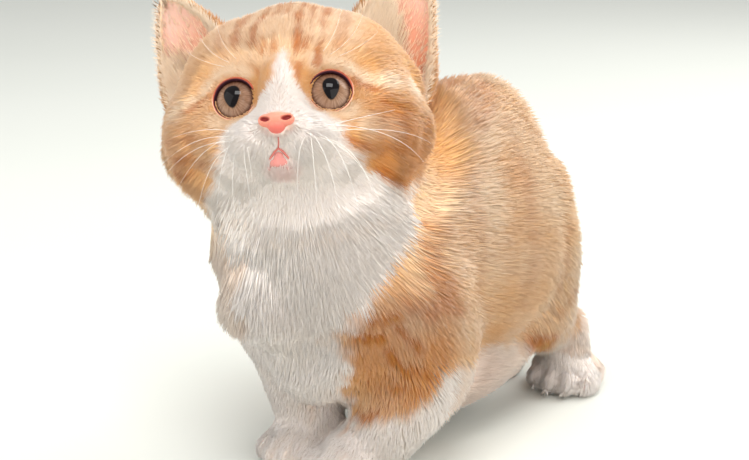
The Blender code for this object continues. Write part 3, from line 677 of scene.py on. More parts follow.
CREAM_SPOTS = [
    (11.4, 30, 1.6), (16, 28.5, 1.6), (20.5, 27, -0.6), (25, 25.4, -2.9), (31, 23, -4), (37, 17, -4.4),
    (-11.4, 28.5, 0.6), (-15.6, 28, 2.0), (-20, 26.8, 1.8), (-24, 25, -1.7), (-28.5, 24, -5.9),
    (-32, 22, -9), (-20, 27, -14), (-14.7, 28.7, -16), (14, 29, -16), (19.5, 27, -14), (25.7, 25.7, -18.6),
    (30.8, 23.4, -19.2),
]


def head_white(local):
    """The blaze, the muzzle and all below the cheeks' edge, on the front of the head."""
    wobble = 0.9 * ripple(local, 9) + 0.5 * ripple(local, 4)
    half = np.interp(local[:, 2], BLAZE_UP, BLAZE_HALF)
    middle = np.interp(local[:, 2], (-20, -14, -9, -5, 6), (0, 0.6, 1.4, 1.5, 1.4))
    soft = np.interp(local[:, 2], (-20, -9, 6), (2.6, 1.9, 1.5))
    blaze = eased(-1, 1, (half - np.abs(local[:, 0] - middle) + wobble) / soft)
    edge = np.interp(np.abs(local[:, 0]), CHEEK_LEFT, CHEEK_EDGE)
    below = eased(-1.8, 1.8, edge - local[:, 2] + wobble)
    white = np.maximum(blaze * eased(10, 5, local[:, 2]), below)
    return white * eased(-16, -8, local[:, 1] + 1.5 * wobble)


def head_cream(local):
    spots = np.zeros(len(local))
    for place in CREAM_SPOTS:
        spots = np.maximum(spots, 1 - eased(1.5, 5.5, oval_far(local, place, 1)))
    brow = 0.65 * eased(-3, 4, local[:, 2]) * eased(28, 18, np.abs(local[:, 0]))
    brow = brow * eased(-40, 0, local[:, 1])
    right_side = 0.25 * eased(-8, -20, local[:, 0])
    return np.maximum.reduce([0.85 * spots, brow, right_side])


def head_deep(local):
    """The cheeks are a deeper orange than the forehead, most of all the left one."""
    left = local[:, 0]
    low = eased(-6, -14, local[:, 2]) * eased(-34, -28, local[:, 2]) * eased(-4, 10, local[:, 1])
    return low * np.where(left > 0, 0.5 * eased(22, 30, left), 0.22 * eased(-22, -30, left))


print("bars on the head:", len(HEAD_BARS))

# %% Body markings
BIB_HEIGHT = (12, 21, 37, 49, 55, 60, 62.7, 65.4, 70, 75, 84, 90, 98)
BIB_BACK = (9, 6, -6.5, -10.5, -11.2, -10.5, -7.8, -3.5, 0.5, 4.9, 15, 21, 30)
BIB_SIDE_HEIGHT = (12, 21, 29, 37, 49, 60)
BIB_SIDE = (-1, 4, 10, 17, 24, 60)
STRIP_HEIGHT = (34, 42, 47, 52.7, 58, 64, 73, 78.6, 84, 92, 104)
STRIP_EDGE = (-34, -30, -18, -10, -6.5, -5, -7, -15, -26, -36, -46)
BELLY_ALONG = (-40, 18.4, 30, 46, 57, 70, 78, 85, 90, 97, 108, 112, 120, 128)
BELLY_EDGE = (40, 40.6, 38, 35, 34.5, 31.4, 24, 20, 18, 22.4, 23.2, 27, 28, 30)
LEG_ACROSS = (0, 9.5, 19.2, 26.9, 31, 35.4, 38, 40.4)
LEG_EDGE = (10, 16.8, 20, 22.2, 23.5, 30.2, 34.7, 40.6)
BODY_BARS = [
    ([(26, -7, 58), (28.5, -4, 60), (31, -0.9, 60.8)], 1.5, 0.9),
    ([(24, -9.2, 52.9), (26.8, -6, 53), (28.6, -2, 51.8)], 1.5, 0.9),
    ([(31, 0, 55.5), (33, 2.5, 51.6), (35.3, 5.2, 48.2)], 1.5, 0.85),
    ([(27.7, -1.2, 47.4), (28.7, 1.8, 43), (30.6, 3.4, 39)], 1.5, 0.9),
    ([(31.4, 3.4, 40.6), (35.8, 7.2, 39), (38.8, 12.7, 36.3)], 1.5, 0.85),
    ([(24, 3, 32.9), (29.3, 4, 33.7), (33.1, 6.2, 33.1)], 1.5, 0.85),
    ([(10.5, 2.2, 20.5), (15.2, 1.2, 21.6), (21, 1.3, 23.2)], 1.6, 0.8),
    ([(32.6, 1.3, 63.8), (37, 7.7, 63.8), (39.8, 18.8, 58.6)], 2.2, 0.5),
    ([(28.5, 22.4, 85.9), (31.5, 16.5, 79.7), (34, 12, 74), (37.8, 13.7, 67.3), (37, 7.7, 60.7)], 3.6, 0.6),
    ([(-23, -16, 58), (-30, -8, 57), (-34, 4, 55)], 1.8, 0.7),
    ([(-25, -12, 47), (-31, -4, 46), (-35, 8, 44)], 1.8, 0.7),
    ([(-24, -8, 38), (-30, 0, 37), (-34, 8, 36)], 1.6, 0.7),
    ([(-30, 18, 84), (-35, 12, 72), (-38, 8, 60)], 3.2, 0.5),
    ([(24.9, 78.8, 28.6), (27.6, 85.8, 28), (21.3, 89.6, 21.8)], 4.2, 0.95),
    ([(-24.9, 74, 28.6), (-27.6, 81, 28), (-21.3, 85, 21.8)], 4.2, 0.9),
    ([(9, 58.5, 116.6), (13.7, 55.4, 112.5), (17.5, 53.3, 108.3), (7.7, 68.3, 118.6)], 4.0, 0.5),
    ([(0, 40, 116), (0, 60, 118), (0, 80, 112), (-2, 98, 88)], 4.5, 0.55),
    ([(16, 40, 104), (30, 36, 84), (36, 33, 62)], 2.6, 0.25),
    ([(14, 66, 110), (30, 62, 88), (36, 58, 62), (36, 55, 46)], 3.0, 0.3),
    ([(14, 88, 100), (28, 86, 80), (35, 82, 60), (34, 78, 44)], 3.0, 0.3),
    ([(-16, 40, 104), (-30, 36, 84), (-36, 33, 62)], 2.8, 0.4),
    ([(-14, 66, 110), (-30, 62, 88), (-36, 58, 62), (-36, 55, 46)], 3.0, 0.4),
    ([(-14, 88, 100), (-28, 86, 80), (-35, 82, 60), (-34, 78, 44)], 3.0, 0.4),
    ([(30, 98, 48), (33, 88, 42), (32, 78, 38)], 2.2, 0.45),
    ([(-30, 94, 48), (-33, 84, 42), (-32, 74, 38)], 2.2, 0.45),
]
TAIL_RINGS = [(-3, 100, 78), (-8, 113, 64), (-13, 122, 50), (-21, 132, 36), (-31, 141, 23), (-44, 147, 15)]


def body_white(points):
    x, y, z = points.T
    wobble = 1.3 * ripple(points, 11) + 0.6 * ripple(points, 5)
    bib_left = eased(-1.6, 1.6, np.interp(z, BIB_HEIGHT, BIB_BACK) - y + wobble)
    strip = eased(-2.2, 2.2, x - np.interp(z, STRIP_HEIGHT, STRIP_EDGE) + 1.5 * wobble)
    bib_right = strip * eased(6, -2, y)
    bib_left *= eased(-1.6, 1.6, np.interp(z, BIB_SIDE_HEIGHT, BIB_SIDE) - x + wobble)
    bib = np.where(x > 4, bib_left, np.where(x > -2, np.maximum(bib_left, bib_right), bib_right))
    pale_side = 0.55 * eased(-36, -22, x) * eased(10, -6, y) * (x < 0)
    bib = np.maximum(bib, pale_side) * eased(8, 12, z)
    belly = eased(-4, 4, np.interp(y, BELLY_ALONG, BELLY_EDGE) - z + 1.5 * wobble)
    belly = 0.6 * belly * eased(16, 24, y) * eased(128, 122, y)
    leg = eased(-1.6, 1.6, np.interp(np.abs(x), LEG_ACROSS, LEG_EDGE) - z + wobble) * eased(25, 19, y)
    inner = eased(9, 5, np.abs(x)) * eased(52, 44, z) * eased(90, 80, y)
    feet = eased(17, 13, z) * eased(122, 116, y)
    return np.clip(np.maximum.reduce([bib, belly, leg, inner, feet]), 0, 1)


def markings(points):
    """White, stripe and cream of each place, from 0 to 1."""
    local = from_head(points)
    x, y, z = points.T
    neck_line = np.minimum(z - (91 + 0.2 * y), 40 + 0.4 * (z - 101) - y + 6)
    on_the_head = eased(-5, 4, neck_line)
    wobble = 0.45 * ripple(points, 6)
    bars_head = bars(local, HEAD_BARS, wobble)
    bars_body = bars(points, BODY_BARS, 1.6 * wobble)
    for place in TAIL_RINGS:
        ring = 0.6 * (1 - eased(1.5, 4.5, np.abs((points - place) @ (-0.5, 0.65, -0.57)) + wobble))
        ring = ring * (oval_far(points, place, 1) < 15)
        bars_body = np.maximum(bars_body, ring)
    leg_deep = 0.42 * eased(12, 22, x) * eased(76, 60, z) * eased(26, 12, y)
    leg_deep = np.maximum(leg_deep, 0.3 * eased(-12, -22, x) * eased(60, 50, z) * eased(22, 12, y))
    side_deep = 0.18 * eased(52, 30, z) * eased(20, 34, y) + 0.12 * eased(0, 14, ripple(points, 18) * 14)
    body_deep = np.maximum(leg_deep, side_deep)
    stripe = np.maximum(bars_head, head_deep(local)) * on_the_head
    stripe = stripe + (bars_body + (1 - bars_body) * body_deep) * (1 - on_the_head)
    white = np.maximum(head_white(local) * eased(-7, -1, neck_line), body_white(points) * (1 - on_the_head))
    flank = 0.66 + 0.25 * ripple(points, 26) - 0.35 * eased(70, 36, z) * eased(80, 60, y) - 0.3 * leg_deep
    cream = head_cream(local) * on_the_head + np.clip(flank, 0, 0.8) * (1 - on_the_head)
    return white, np.clip(stripe, 0, 1), np.clip(cream, 0, 1)


skin_marks = markings(skin_points + skin_normals * skin_depth[:, None])
print("share of white skin points:", round(float(skin_marks[0].mean()), 2))

# %% [markdown]
# ## The colours of skin and fur
# Fur is deeper at its root, where its neighbours shade it, and every lock differs a little. A single
# colour would look like felt. The same few nodes mix orange, cream, stripe and white from the markings and
# shade each tuft by its own number and from root to tip. The skin and lids use them too, so that no other
# colour shows between tufts.

# %% Coat and skin materials
ORANGE = rgb(234, 168, 104)
DEEP = rgb(186, 92, 16)
CREAM = rgb(252, 218, 178)
WHITE = rgb(250, 238, 228)
SHADED_WHITE = rgb(238, 212, 192)
PINK = rgb(230, 150, 136)


def coat_colours(tree):
    """Node outputs that turn the markings into the fur's colour."""
    orange = mixed(tree, noise(tree, 7.0), ORANGE, rgb(226, 154, 86))
    cream = mixed(tree, attribute(tree, "cream"), orange, CREAM)
    striped = mixed(tree, attribute(tree, "stripe"), cream, DEEP)
    # Painted shade: each tuft is darker and deeper in colour towards its root, where neighbouring tufts would
    # shade it.
    root = worked(tree, "SUBTRACT", 1.0, attribute(tree, "along"))
    deeper = mixed(tree, times(tree, root, 0.25), striped, rgb(214, 130, 66))
    white = mixed(tree, times(tree, root, 0.4), WHITE, SHADED_WHITE)
    both = mixed(tree, attribute(tree, "white"), deeper, white)
    warm = mixed(tree, attribute(tree, "pink"), both, PINK)
    light = plus(tree, 0.92, times(tree, attribute(tree, "shade"), 0.14))
    grey = fill(tree, add_node(tree, "ShaderNodeCombineColor"), {0: light, 1: light, 2: light})
    return mixed(tree, 1.0, warm, grey.outputs[0], "MULTIPLY")


def coat_material(name, roughness, sheen):
    material, tree, shader = new_material(name, {
        "Roughness": roughness, "Specular IOR Level": 0.12, "Sheen Weight": sheen, "Sheen Roughness": 0.5,
        "Subsurface Weight": 0.4, "Subsurface Radius": (1.0, 0.7, 0.5), "Subsurface Scale": 0.002,
    })
    painted(tree, shader, coat_colours(tree))
    return material, tree, shader


coat_look, _, _ = coat_material("kitten_coat", 0.68, 0.08)
skin_look, skin_tree, skin_shader = coat_material("kitten_skin", 0.75, 0.15)
bumped(skin_tree, skin_shader, noise(skin_tree, 0.7, 4), 0.6, 0.4)
print("coat materials:", coat_look.name, skin_look.name)

# %% Store the markings on the skin


def store(mesh, name, values, kind="FLOAT", domain="POINT"):
    field = {"FLOAT": "value", "FLOAT_VECTOR": "vector"}[kind]
    made = mesh.attributes.new(name, kind, domain)
    made.data.foreach_set(field, np.ascontiguousarray(values, np.float32).ravel())


def store_marks(mesh, marks, pink=0.0, along=0.4):
    """The markings and the tuft's own numbers, for a mesh that shares the fur's colours."""
    for name, values in zip(("white", "stripe", "cream"), marks):
        store(mesh, name, values)
    for name, values in (("pink", pink), ("shade", 0.45), ("along", along)):
        store(mesh, name, np.zeros(len(mesh.vertices)) + values)


def mouth_pink(points):
    """Bare pink skin round the nose, the groove below it and the lips."""
    local = from_head(points)
    groove = near_line(local, [(0, 42, -22), (-0.3, 39, -28.0)])
    lips = near_line(local, [(-4.2, 37, -31.4), (-0.5, 38, -28.4), (3.4, 37, -31.4)])
    chin = oval_far(local, (-0.3, 36, -33), (1.2, 1.5, 1.0))
    bare = np.maximum(0.8 * (1 - eased(0.6, 2.0, groove)), 1 - eased(0.8, 2.6, lips))
    return np.maximum(bare, 0.42 * (1 - eased(2.5, 6.5, chin)))


# The skin's along of 0.1 puts it near the root, so it carries the painted root shade between tufts.
store_marks(skin.data, skin_marks, mouth_pink(skin_points), 0.1)
skin.data.shade_smooth()
skin.data.materials.clear()
skin.data.materials.append(skin_look)
print("skin attributes:", [made.name for made in skin.data.attributes][:8])

# %% [markdown]
# ## Ears
# An ear is a thin cupped sheet, velvet outside and nearly bare inside. It could be cut from the CAD solid,
# but that is coarse, so the same named edges and tip make a finer sheet here, which gets its thickness from
# Solidify and a rounded rim from Subdivision Surface. The sheet keeps how high and how far across each
# point lies, so that skin and fur know the rim from the cup.

# %% Ear sheets
EAR_EDGES = {
    "left": ((21, 2, 26), (42, -7, 5), (43.5, -4, 49)),
    "right": ((-22, 2, 25), (-40.5, -6, 6), (-42.5, -4, 43)),
}
EAR_CUP = 8.0
EAR_THICK = 0.8


def ear_frame(side):
    """Middle of the ear's base, the way across it to its outer edge and up to its tip, in body mm."""
    inner, outer, tip = (on_head(place) for place in EAR_EDGES[side])
    middle = (inner + outer) / 2
    return middle, outer - inner, tip - middle


def ear_sheet(side, columns=19, rows=20):
    base, sideways, up = ear_frame(side)
    width = np.linalg.norm(sideways)
    points, place_rise = [], []
    for rise in np.linspace(-0.26, 0.985, rows):
        half = max(0.5 * width * (1 - max(rise, 0) ** 1.5) ** 0.8, 1.6)
        middle = base + up * rise
        for place in np.linspace(-1, 1, columns):
            cup = EAR_CUP * (1 - place * place) * (1 - 0.75 * max(rise, 0))
            points.append(middle + sideways / width * half * place - HEAD_FRONT * cup)
            place_rise.append((place, rise))
    mesh = mesh_of(f"ear_{side}_skin", points, grid_faces(rows, columns))
    place_rise = np.array(place_rise)
    store(mesh, "across", place_rise[:, 0])
    store(mesh, "rise", place_rise[:, 1])
    return mesh


def ear_skin(side):
    ear = mesh_object(f"skin_ear_{side}", ear_sheet(side))
    thick = ear.modifiers.new("thickness", "SOLIDIFY")
    thick.thickness = EAR_THICK * MM
    thick.offset = 0.0
    faced_out(finer(ear).data)
    return ear


ears = {side: ear_skin(side) for side in EAR_EDGES}
print("ear faces:", {side: len(ear.data.polygons) for side, ear in ears.items()})

# %% Ear colours
ear_look, ear_tree, ear_shader = new_material("ear_skin", {
    "Roughness": 0.55, "Specular IOR Level": 0.3, "Subsurface Weight": 0.25,
    "Subsurface Radius": (1.0, 0.35, 0.2), "Subsurface Scale": 0.0015,
})
ear_flush = ramp(ear_tree, attribute(ear_tree, "rise"), [
    (0.0, (214, 136, 92)), (0.30, (222, 164, 138)), (0.6, (228, 186, 168)),
    (1.0, (234, 204, 190)),
])
ear_spots = mixed(ear_tree, times(ear_tree, noise(ear_tree, 5.0), 0.25), ear_flush, rgb(226, 150, 122))
ear_deep_share = times(ear_tree, attribute(ear_tree, "pink"), 0.8)
ear_deep = mixed(ear_tree, ear_deep_share, ear_spots, rgb(206, 122, 82))
ear_tone = mixed(ear_tree, attribute(ear_tree, "velvet"), ear_deep, coat_colours(ear_tree))
painted(ear_tree, ear_shader, ear_tone)
bumped(ear_tree, ear_shader, noise(ear_tree, 1.2, 4), 0.4, 0.25)


def dress_ear(side, mesh):
    """Stores the ear's colours, and what its fur needs, on its points."""
    normals = normals_of(mesh, points_of(mesh))
    across, rise = (fetched(mesh.attributes[name].data, "value")[:, 0] for name in ("across", "rise"))
    across, rise = across.astype(float), rise.astype(float)
    toward = normals @ HEAD_FRONT
    outside = eased(0.1, -0.3, toward)
    rim = eased(0.80, 0.97, np.abs(across)) + eased(0.88, 1.0, rise)
    velvet = np.clip(outside + rim, 0, 1)
    inside = 1 - velvet
    cream = np.clip(0.25 + 0.75 * (toward > 0) - 0.4 * outside, 0, 1)
    marks = (0.15 * eased(0.5, 1.0, rise), 0.35 * outside * eased(0.7, 0.0, rise), cream)
    store_marks(mesh, marks, inside * (0.7 if side == "left" else 0.1) * eased(1.0, 0.2, rise))
    _, sideways, up = ear_frame(side)
    lie = up / np.linalg.norm(up) + np.outer(0.8 * across, sideways / np.linalg.norm(sideways))
    lie -= np.sum(lie * normals, axis=1)[:, None] * normals
    nasal = across if side == "right" else -across
    brush = inside * eased(0.62, 0.1, rise) * eased(-0.5, 0.4, nasal)
    crowd = np.clip(outside + rim + 0.25 * eased(0.3, 0.0, rise) + 0.5 * brush, 0.10, 1.0)
    store(mesh, "velvet", velvet)
    store(mesh, "out", normals, "FLOAT_VECTOR")
    store(mesh, "comb", unit(lie), "FLOAT_VECTOR")
    store(mesh, "length", (2.4 + 2.5 * eased(0.45, -0.1, rise) * outside + 1.4 * rim + 6.5 * brush) * MM)
    store(mesh, "width", np.full(len(rise), 0.17 * MM))
    store(mesh, "lean", np.radians(17 + 8 * rim * (toward > -0.5) + 6 * brush))
    store(mesh, "crowding", crowd * (rise > -0.22))
    mesh.materials.append(ear_look)


for side, ear in ears.items():
    dress_ear(side, ear.data)
print("ear material:", ear_look.name)

# %% [markdown]
# ## Paths of hair, lips and claws
# Whiskers, brow hairs, the line of the mouth and the claws are all the same kind of thing: a path with a
# thickness along it. Bevelled curve objects would do, but one small node tree turns any bundle of edge
# paths into round tapered rods at once.

# %% The rod tree
def new_tree(name, inputs, made):
    """An empty geometry node tree with these named inputs, its input sockets, and one geometry output."""
    tree = bpy.data.node_groups.new(name, "GeometryNodeTree")
    tree.is_modifier = True
    for label, kind in inputs.items():
        tree.interface.new_socket(label, in_out="INPUT", socket_type=f"NodeSocket{kind}")
    tree.interface.new_socket(made, in_out="OUTPUT", socket_type="NodeSocketGeometry")
    return tree, add_node(tree, "NodeGroupInput").outputs


def run_tree(obj, tree, values):
    """Runs the tree on the object, with these values on its named inputs, and leaves a plain mesh."""
    sockets = {item.name: item.identifier for item in tree.interface.items_tree}
    grower = obj.modifiers.new(tree.name, "NODES")
    grower.node_group = tree
    for label, value in values.items():
        grower[sockets[label]] = value
    return settled(obj)


def named(tree, name, kind="FLOAT"):
    node = add_node(tree, "GeometryNodeInputNamedAttribute", data_type=kind)
    return fill(tree, node, {"Name": name}).outputs["Attribute"]


def through(tree, geometry, kind, values=None, **settings):
    """The output of a node that takes this geometry first, then these values."""
    node = add_node(tree, f"GeometryNode{kind}", **settings)
    return fill(tree, node, {0: geometry, **(values or {})}).outputs[0]


def build_rod_tree():
    inputs = {"Paths": "Geometry", "Sides": "Int", "Finish": "Material"}
    tree, start = new_tree("rods_on_paths", inputs, "Rods")
    circle = add_node(tree, "GeometryNodeCurvePrimitiveCircle")
    fill(tree, circle, {"Resolution": start["Sides"], "Radius": 1.0})
    made = through(tree, start["Paths"], "MeshToCurve")
    made = through(tree, made, "CurveToMesh", {
        "Profile Curve": circle.outputs[0], "Scale": named(tree, "thickness"), "Fill Caps": True,
    })
    made = through(tree, made, "SetShadeSmooth")
    made = through(tree, made, "RealizeInstances")
    made = through(tree, made, "SetMaterial", {"Material": start["Finish"]})
    fill(tree, add_node(tree, "NodeGroupOutput"), {0: made})
    return tree


rod_tree = build_rod_tree()


def rods(name, paths, sides, material):
    """Tapered rods along (points in body mm, radii in mm) paths, as one plain mesh."""
    places, radii, along, links = [], [], [], []
    for points, thickness in paths:
        first = len(places)
        places.extend(points)
        radii.extend(np.asarray(thickness, float) * MM)
        along.extend(np.linspace(0, 1, len(points)))
        links.extend((first + k, first + k + 1) for k in range(len(points) - 1))
    mesh = mesh_of(name, places, [], links)
    store(mesh, "thickness", radii)
    store(mesh, "along", along)
    return run_tree(mesh_object(name, mesh), rod_tree, {"Sides": sides, "Finish": material})


print("rod tree nodes:", len(rod_tree.nodes))

# %% [markdown]
# ## Eyes
# A kitten's eye is a ball with a clear raised window. A glass shell over a sunken iris is the studio way,
# but it needs refraction. Here the iris is painted on the raised form and a clear coat gives the wet shine.
# The pupil is a tall oval, the iris beige to amber grey with fine spokes and a dark rim.

# %% Eyeballs
EYE_RADIUS = 8.4
CORNEA_RADIUS = 6.2
CORNEA_OUT = 3.0


def eyeball_reach(angle):
    """Distance from the ball's middle to its surface at this angle from the line of sight."""
    window = CORNEA_OUT * np.cos(angle) + np.sqrt(CORNEA_RADIUS**2 - (CORNEA_OUT * np.sin(angle)) ** 2)
    return np.logaddexp(5 * window, 5 * EYE_RADIUS) / 5 - 0.02


def make_eyeball(side, segments=72, rings=60):
    angles = np.linspace(0, math.pi, rings + 1)[1:-1]
    turns = np.linspace(0, 2 * math.pi, segments, endpoint=False)
    local = [(0, -eyeball_reach(0.0), 0)]
    for angle in angles:
        reach = eyeball_reach(angle)
        for turn in turns:
            aside = reach * math.sin(angle)
            local.append((aside * math.cos(turn), -reach * math.cos(angle), aside * math.sin(turn)))
    local.append((0, eyeball_reach(math.pi), 0))
    local = np.array(local)
    faces = [(0, 1 + (k + 1) % segments, 1 + k) for k in range(segments)]
    faces += grid_faces(len(angles), segments, close_columns=True, first=1)
    base = 1 + (len(angles) - 1) * segments
    faces += [(base + k, base + (k + 1) % segments, len(local) - 1) for k in range(segments)]
    mesh = mesh_of(f"eyeball_{side}", on_head(EYE_PLACES[side]) + local @ GAZE[side].T, faces)
    store(mesh, "aside", local[:, 0])
    store(mesh, "above", local[:, 2])
    store(mesh, "ahead", -local[:, 1])
    far = np.maximum(np.hypot(local[:, 0], local[:, 2]), 1e-6)
    spokes = np.stack([local[:, 0] / far, local[:, 2] / far, 0.05 * far], axis=1)
    store(mesh, "spokes", spokes, "FLOAT_VECTOR")
    faced_out(mesh)
    return mesh_object(f"eyeball_{side}", mesh)


iris_look, iris_tree, iris_shader = new_material("kitten_eye", {
    "Roughness": 0.5, "Specular IOR Level": 0.0,
    "Coat Weight": 0.45, "Coat IOR": 1.48, "Coat Roughness": 0.01,
})
IRIS_HALF = 8.0
PUPIL_HALVES = (2.5, 3.7)
PUPIL_LIFT = 0.4
PUPIL_TAPER = 0.085
eye_x = attribute(iris_tree, "aside")
eye_z = attribute(iris_tree, "above")
BLACK = (0, 0, 0)
FULL_WHITE = (255, 255, 255)


def oval(wide, high, lift=0.0, taper=0.0):
    """How far out each place is in an oval of these half sizes, narrower below: 1 on its line."""
    width = times(iris_tree, plus(iris_tree, 1.0, times(iris_tree, eye_z, taper)), wide)
    x = worked(iris_tree, "DIVIDE", eye_x, width)
    z = worked(iris_tree, "DIVIDE", worked(iris_tree, "SUBTRACT", eye_z, lift), high)
    return worked(iris_tree, "SQRT", plus(iris_tree, times(iris_tree, x, x), times(iris_tree, z, z)))


iris_ring = ramp(iris_tree, worked(iris_tree, "DIVIDE", oval(1.0, 1.0), IRIS_HALF), [
    (0.0, (124, 92, 68)), (0.30, (140, 106, 80)), (0.46, (164, 134, 112)),
    (0.60, (166, 140, 122)), (0.67, (122, 92, 78)), (0.73, (64, 38, 38)), (0.86, (44, 24, 28)),
])
spoke_noise = add_node(iris_tree, "ShaderNodeTexNoise")
spoke_place = attribute(iris_tree, "spokes", "Vector")
fill(iris_tree, spoke_noise, {"Scale": 9.0, "Detail": 5.0, "Vector": spoke_place})
spoke_tone = ramp(iris_tree, spoke_noise.outputs["Fac"], [(0.35, (196, 182, 170)), (0.62, FULL_WHITE)])
iris_tone = mixed(iris_tree, 0.8, iris_ring, spoke_tone, "MULTIPLY")
lid_shade = ramp(iris_tree, plus(iris_tree, times(iris_tree, eye_z, 0.08), 0.5), [
    (0.2, FULL_WHITE), (0.62, (236, 230, 226)), (0.92, (150, 118, 104)),
])
iris_tone = mixed(iris_tree, 1.0, iris_tone, lid_shade, "MULTIPLY")
pupil = ramp(iris_tree, oval(*PUPIL_HALVES, PUPIL_LIFT, PUPIL_TAPER), [(0.88, FULL_WHITE), (1.0, BLACK)])
painted(iris_tree, iris_shader, mixed(iris_tree, pupil, iris_tone, rgb(8, 4, 6)))

for side in EYE_PLACES:
    ball = make_eyeball(side)
    ball.data.materials.append(iris_look)
    hand_over(ball, "eye", f"eye_{side}")
print("eyeball faces:", len(ball.data.polygons))

# %% [markdown]
# ## Lids
# The lids hug the ball and end in a thin dark wet margin, with a soft fold above. They could be sculpted
# into the skin, but the skin's mesh is too coarse for an edge this fine. So each eye gets a closed ring
# whose section is a few listed steps from the margin out to where it sinks below the skin.

# %% Eyelids
LID_SECTION = [
    # out from the opening, distance from the ball's middle, how much it is margin
    (-0.1, 8.30, 1.0), (0.0, 8.80, 1.0), (0.12, 9.25, 1.0), (0.4, 9.6, 0.75), (0.9, 9.75, 0.4),
    (1.4, 9.5, 0.22), (1.9, 9.5, 0.1), (2.5, 9.3, 0.0), (3.2, 9.0, 0.0), (3.8, 8.4, 0.0),
    (3.0, 7.7, 0.0), (1.2, 7.6, 0.0), (0.1, 7.8, 1.0),
]


OPENING_HALVES = (5.95, 5.8)


def lid_ring(side, segments=72):
    nasal = math.pi if side == "left" else 0.0
    turns = np.linspace(0, 2 * math.pi, segments, endpoint=False)
    local, margin = [], []
    for turn in turns:
        toward_nose = math.exp(-((math.remainder(turn - nasal, 2 * math.pi)) / 0.32) ** 2)
        toward_ear = math.exp(-((math.remainder(turn - nasal - math.pi, 2 * math.pi)) / 0.30) ** 2)
        upper = max(math.sin(turn), 0.0)
        opening = 1 / math.hypot(math.cos(turn) / OPENING_HALVES[0], math.sin(turn) / OPENING_HALVES[1])
        opening *= 1 + 0.10 * toward_nose + 0.04 * toward_ear
        for out, reach, edge in LID_SECTION:
            aside = opening + out * (1 - 0.3 * toward_nose)
            crease = 0.22 * upper * math.exp(-((out - 1.5) / 0.4) ** 2)
            distance = reach - crease - 0.25 * toward_nose * (out > 0.1)
            ahead = math.sqrt(max(distance**2 - aside**2, 0.2))
            lift = -0.5 * toward_nose * (1 if out > -0.2 else 0)
            local.append((aside * math.cos(turn), -ahead, aside * math.sin(turn) + lift))
            margin.append(edge if edge == 1.0 else edge * (0.3 + 0.7 * min(1.0, 1.6 * upper)))
    faces = grid_faces(segments, len(LID_SECTION), True, True)
    points = on_head(EYE_PLACES[side]) + np.array(local) @ GAZE[side].T
    mesh = mesh_of(f"eyelids_{side}", points, faces)
    white, stripe, cream = markings(points)
    store_marks(mesh, (np.maximum(white, 0.35), 0 * stripe, np.maximum(cream, 0.9)))
    store(mesh, "margin", margin)
    lids = finer(mesh_object(f"eyelids_{side}", mesh))
    faced_out(lids.data)
    return lids


lid_look, lid_tree, lid_shader = new_material("eyelid_skin", {"Roughness": 0.38, "Specular IOR Level": 0.15})
lid_flush = mixed(lid_tree, noise(lid_tree, 1.5), rgb(184, 92, 62), rgb(166, 72, 52))
lid_fade = ramp(lid_tree, attribute(lid_tree, "margin"), [(0.08, BLACK), (0.42, FULL_WHITE)])
lid_base = mixed(lid_tree, lid_fade, coat_colours(lid_tree), lid_flush)
lid_edge = ramp(lid_tree, attribute(lid_tree, "margin"), [(0.55, BLACK), (0.85, FULL_WHITE)])
painted(lid_tree, lid_shader, mixed(lid_tree, lid_edge, lid_base, rgb(66, 34, 44)))
bumped(lid_tree, lid_shader, noise(lid_tree, 0.5, 3), 0.3, 0.1)
for side in EYE_PLACES:
    ring = lid_ring(side)
    ring.data.materials.append(lid_look)
    hand_over(ring, "pink_skin")
print("lid faces:", len(ring.data.polygons))

# %% [markdown]
# ## Nose and mouth
# The nose pad is bare skin with a fine pebble grain and two slanting nostrils. It could be sculpted by hand,
# but four soft balls fused by a voxel remesh give its heart shape, and the nostrils are pressed in. The
# lower lip is a few smaller balls on the muzzle, and the mouth's dark line is a rod laid on the skin, where
# rays from the front meet it.

# %% Soft forms
def on_skin(left, up, lift_mm=0.0):
    """The place on the skin reached from the front of the head at left and up."""
    start = Vector(in_metres(on_head((left, 80, up))))
    _, place, normal, _ = skin.ray_cast(start, Vector(-HEAD_FRONT))
    return in_body(place + normal * lift_mm * MM)


def blob(name, places_and_radii, axes, material, voxel=0.35):
    """One closed mesh of soft balls, fused and smoothed."""
    shape = bmesh.new()
    for place, radii in places_and_radii:
        made = bmesh.ops.create_uvsphere(shape, u_segments=20, v_segments=12, radius=1.0)
        for vert in made["verts"]:
            vert.co = Vector(in_metres(place + axes @ (np.array(vert.co) * radii)))
    mesh = bpy.data.meshes.new(name)
    shape.to_mesh(mesh)
    shape.free()
    obj = remeshed(mesh_object(name, mesh), voxel)
    points = relaxed(points_of(obj.data), edges_of(obj.data), 4)
    put_points(obj.data, points)
    obj.data.shade_smooth()
    obj.data.materials.clear()
    obj.data.materials.append(material)
    return obj


print("nose bridge in body mm:", np.round(on_skin(0, -18), 1))

# %% Nose pad
NOSE_FORMS = [
    ((0, 41.2, -21.4), (4.3, 2.8, 2.5)), ((3.0, 41.0, -21.2), (2.2, 2.2, 1.8)),
    ((-3.0, 41.0, -21.2), (2.2, 2.2, 1.8)), ((0, 41.0, -22.9), (2.6, 2.4, 2.3)),
]
nose_look, nose_tree, nose_shader = new_material("nose_leather", {
    "Roughness": 0.45, "Specular IOR Level": 0.3, "Subsurface Weight": 0.2,
    "Subsurface Radius": (1.0, 0.4, 0.25), "Subsurface Scale": 0.001,
})
nose_tone = mixed(nose_tree, noise(nose_tree, 2.0), rgb(226, 148, 126), rgb(218, 134, 112))
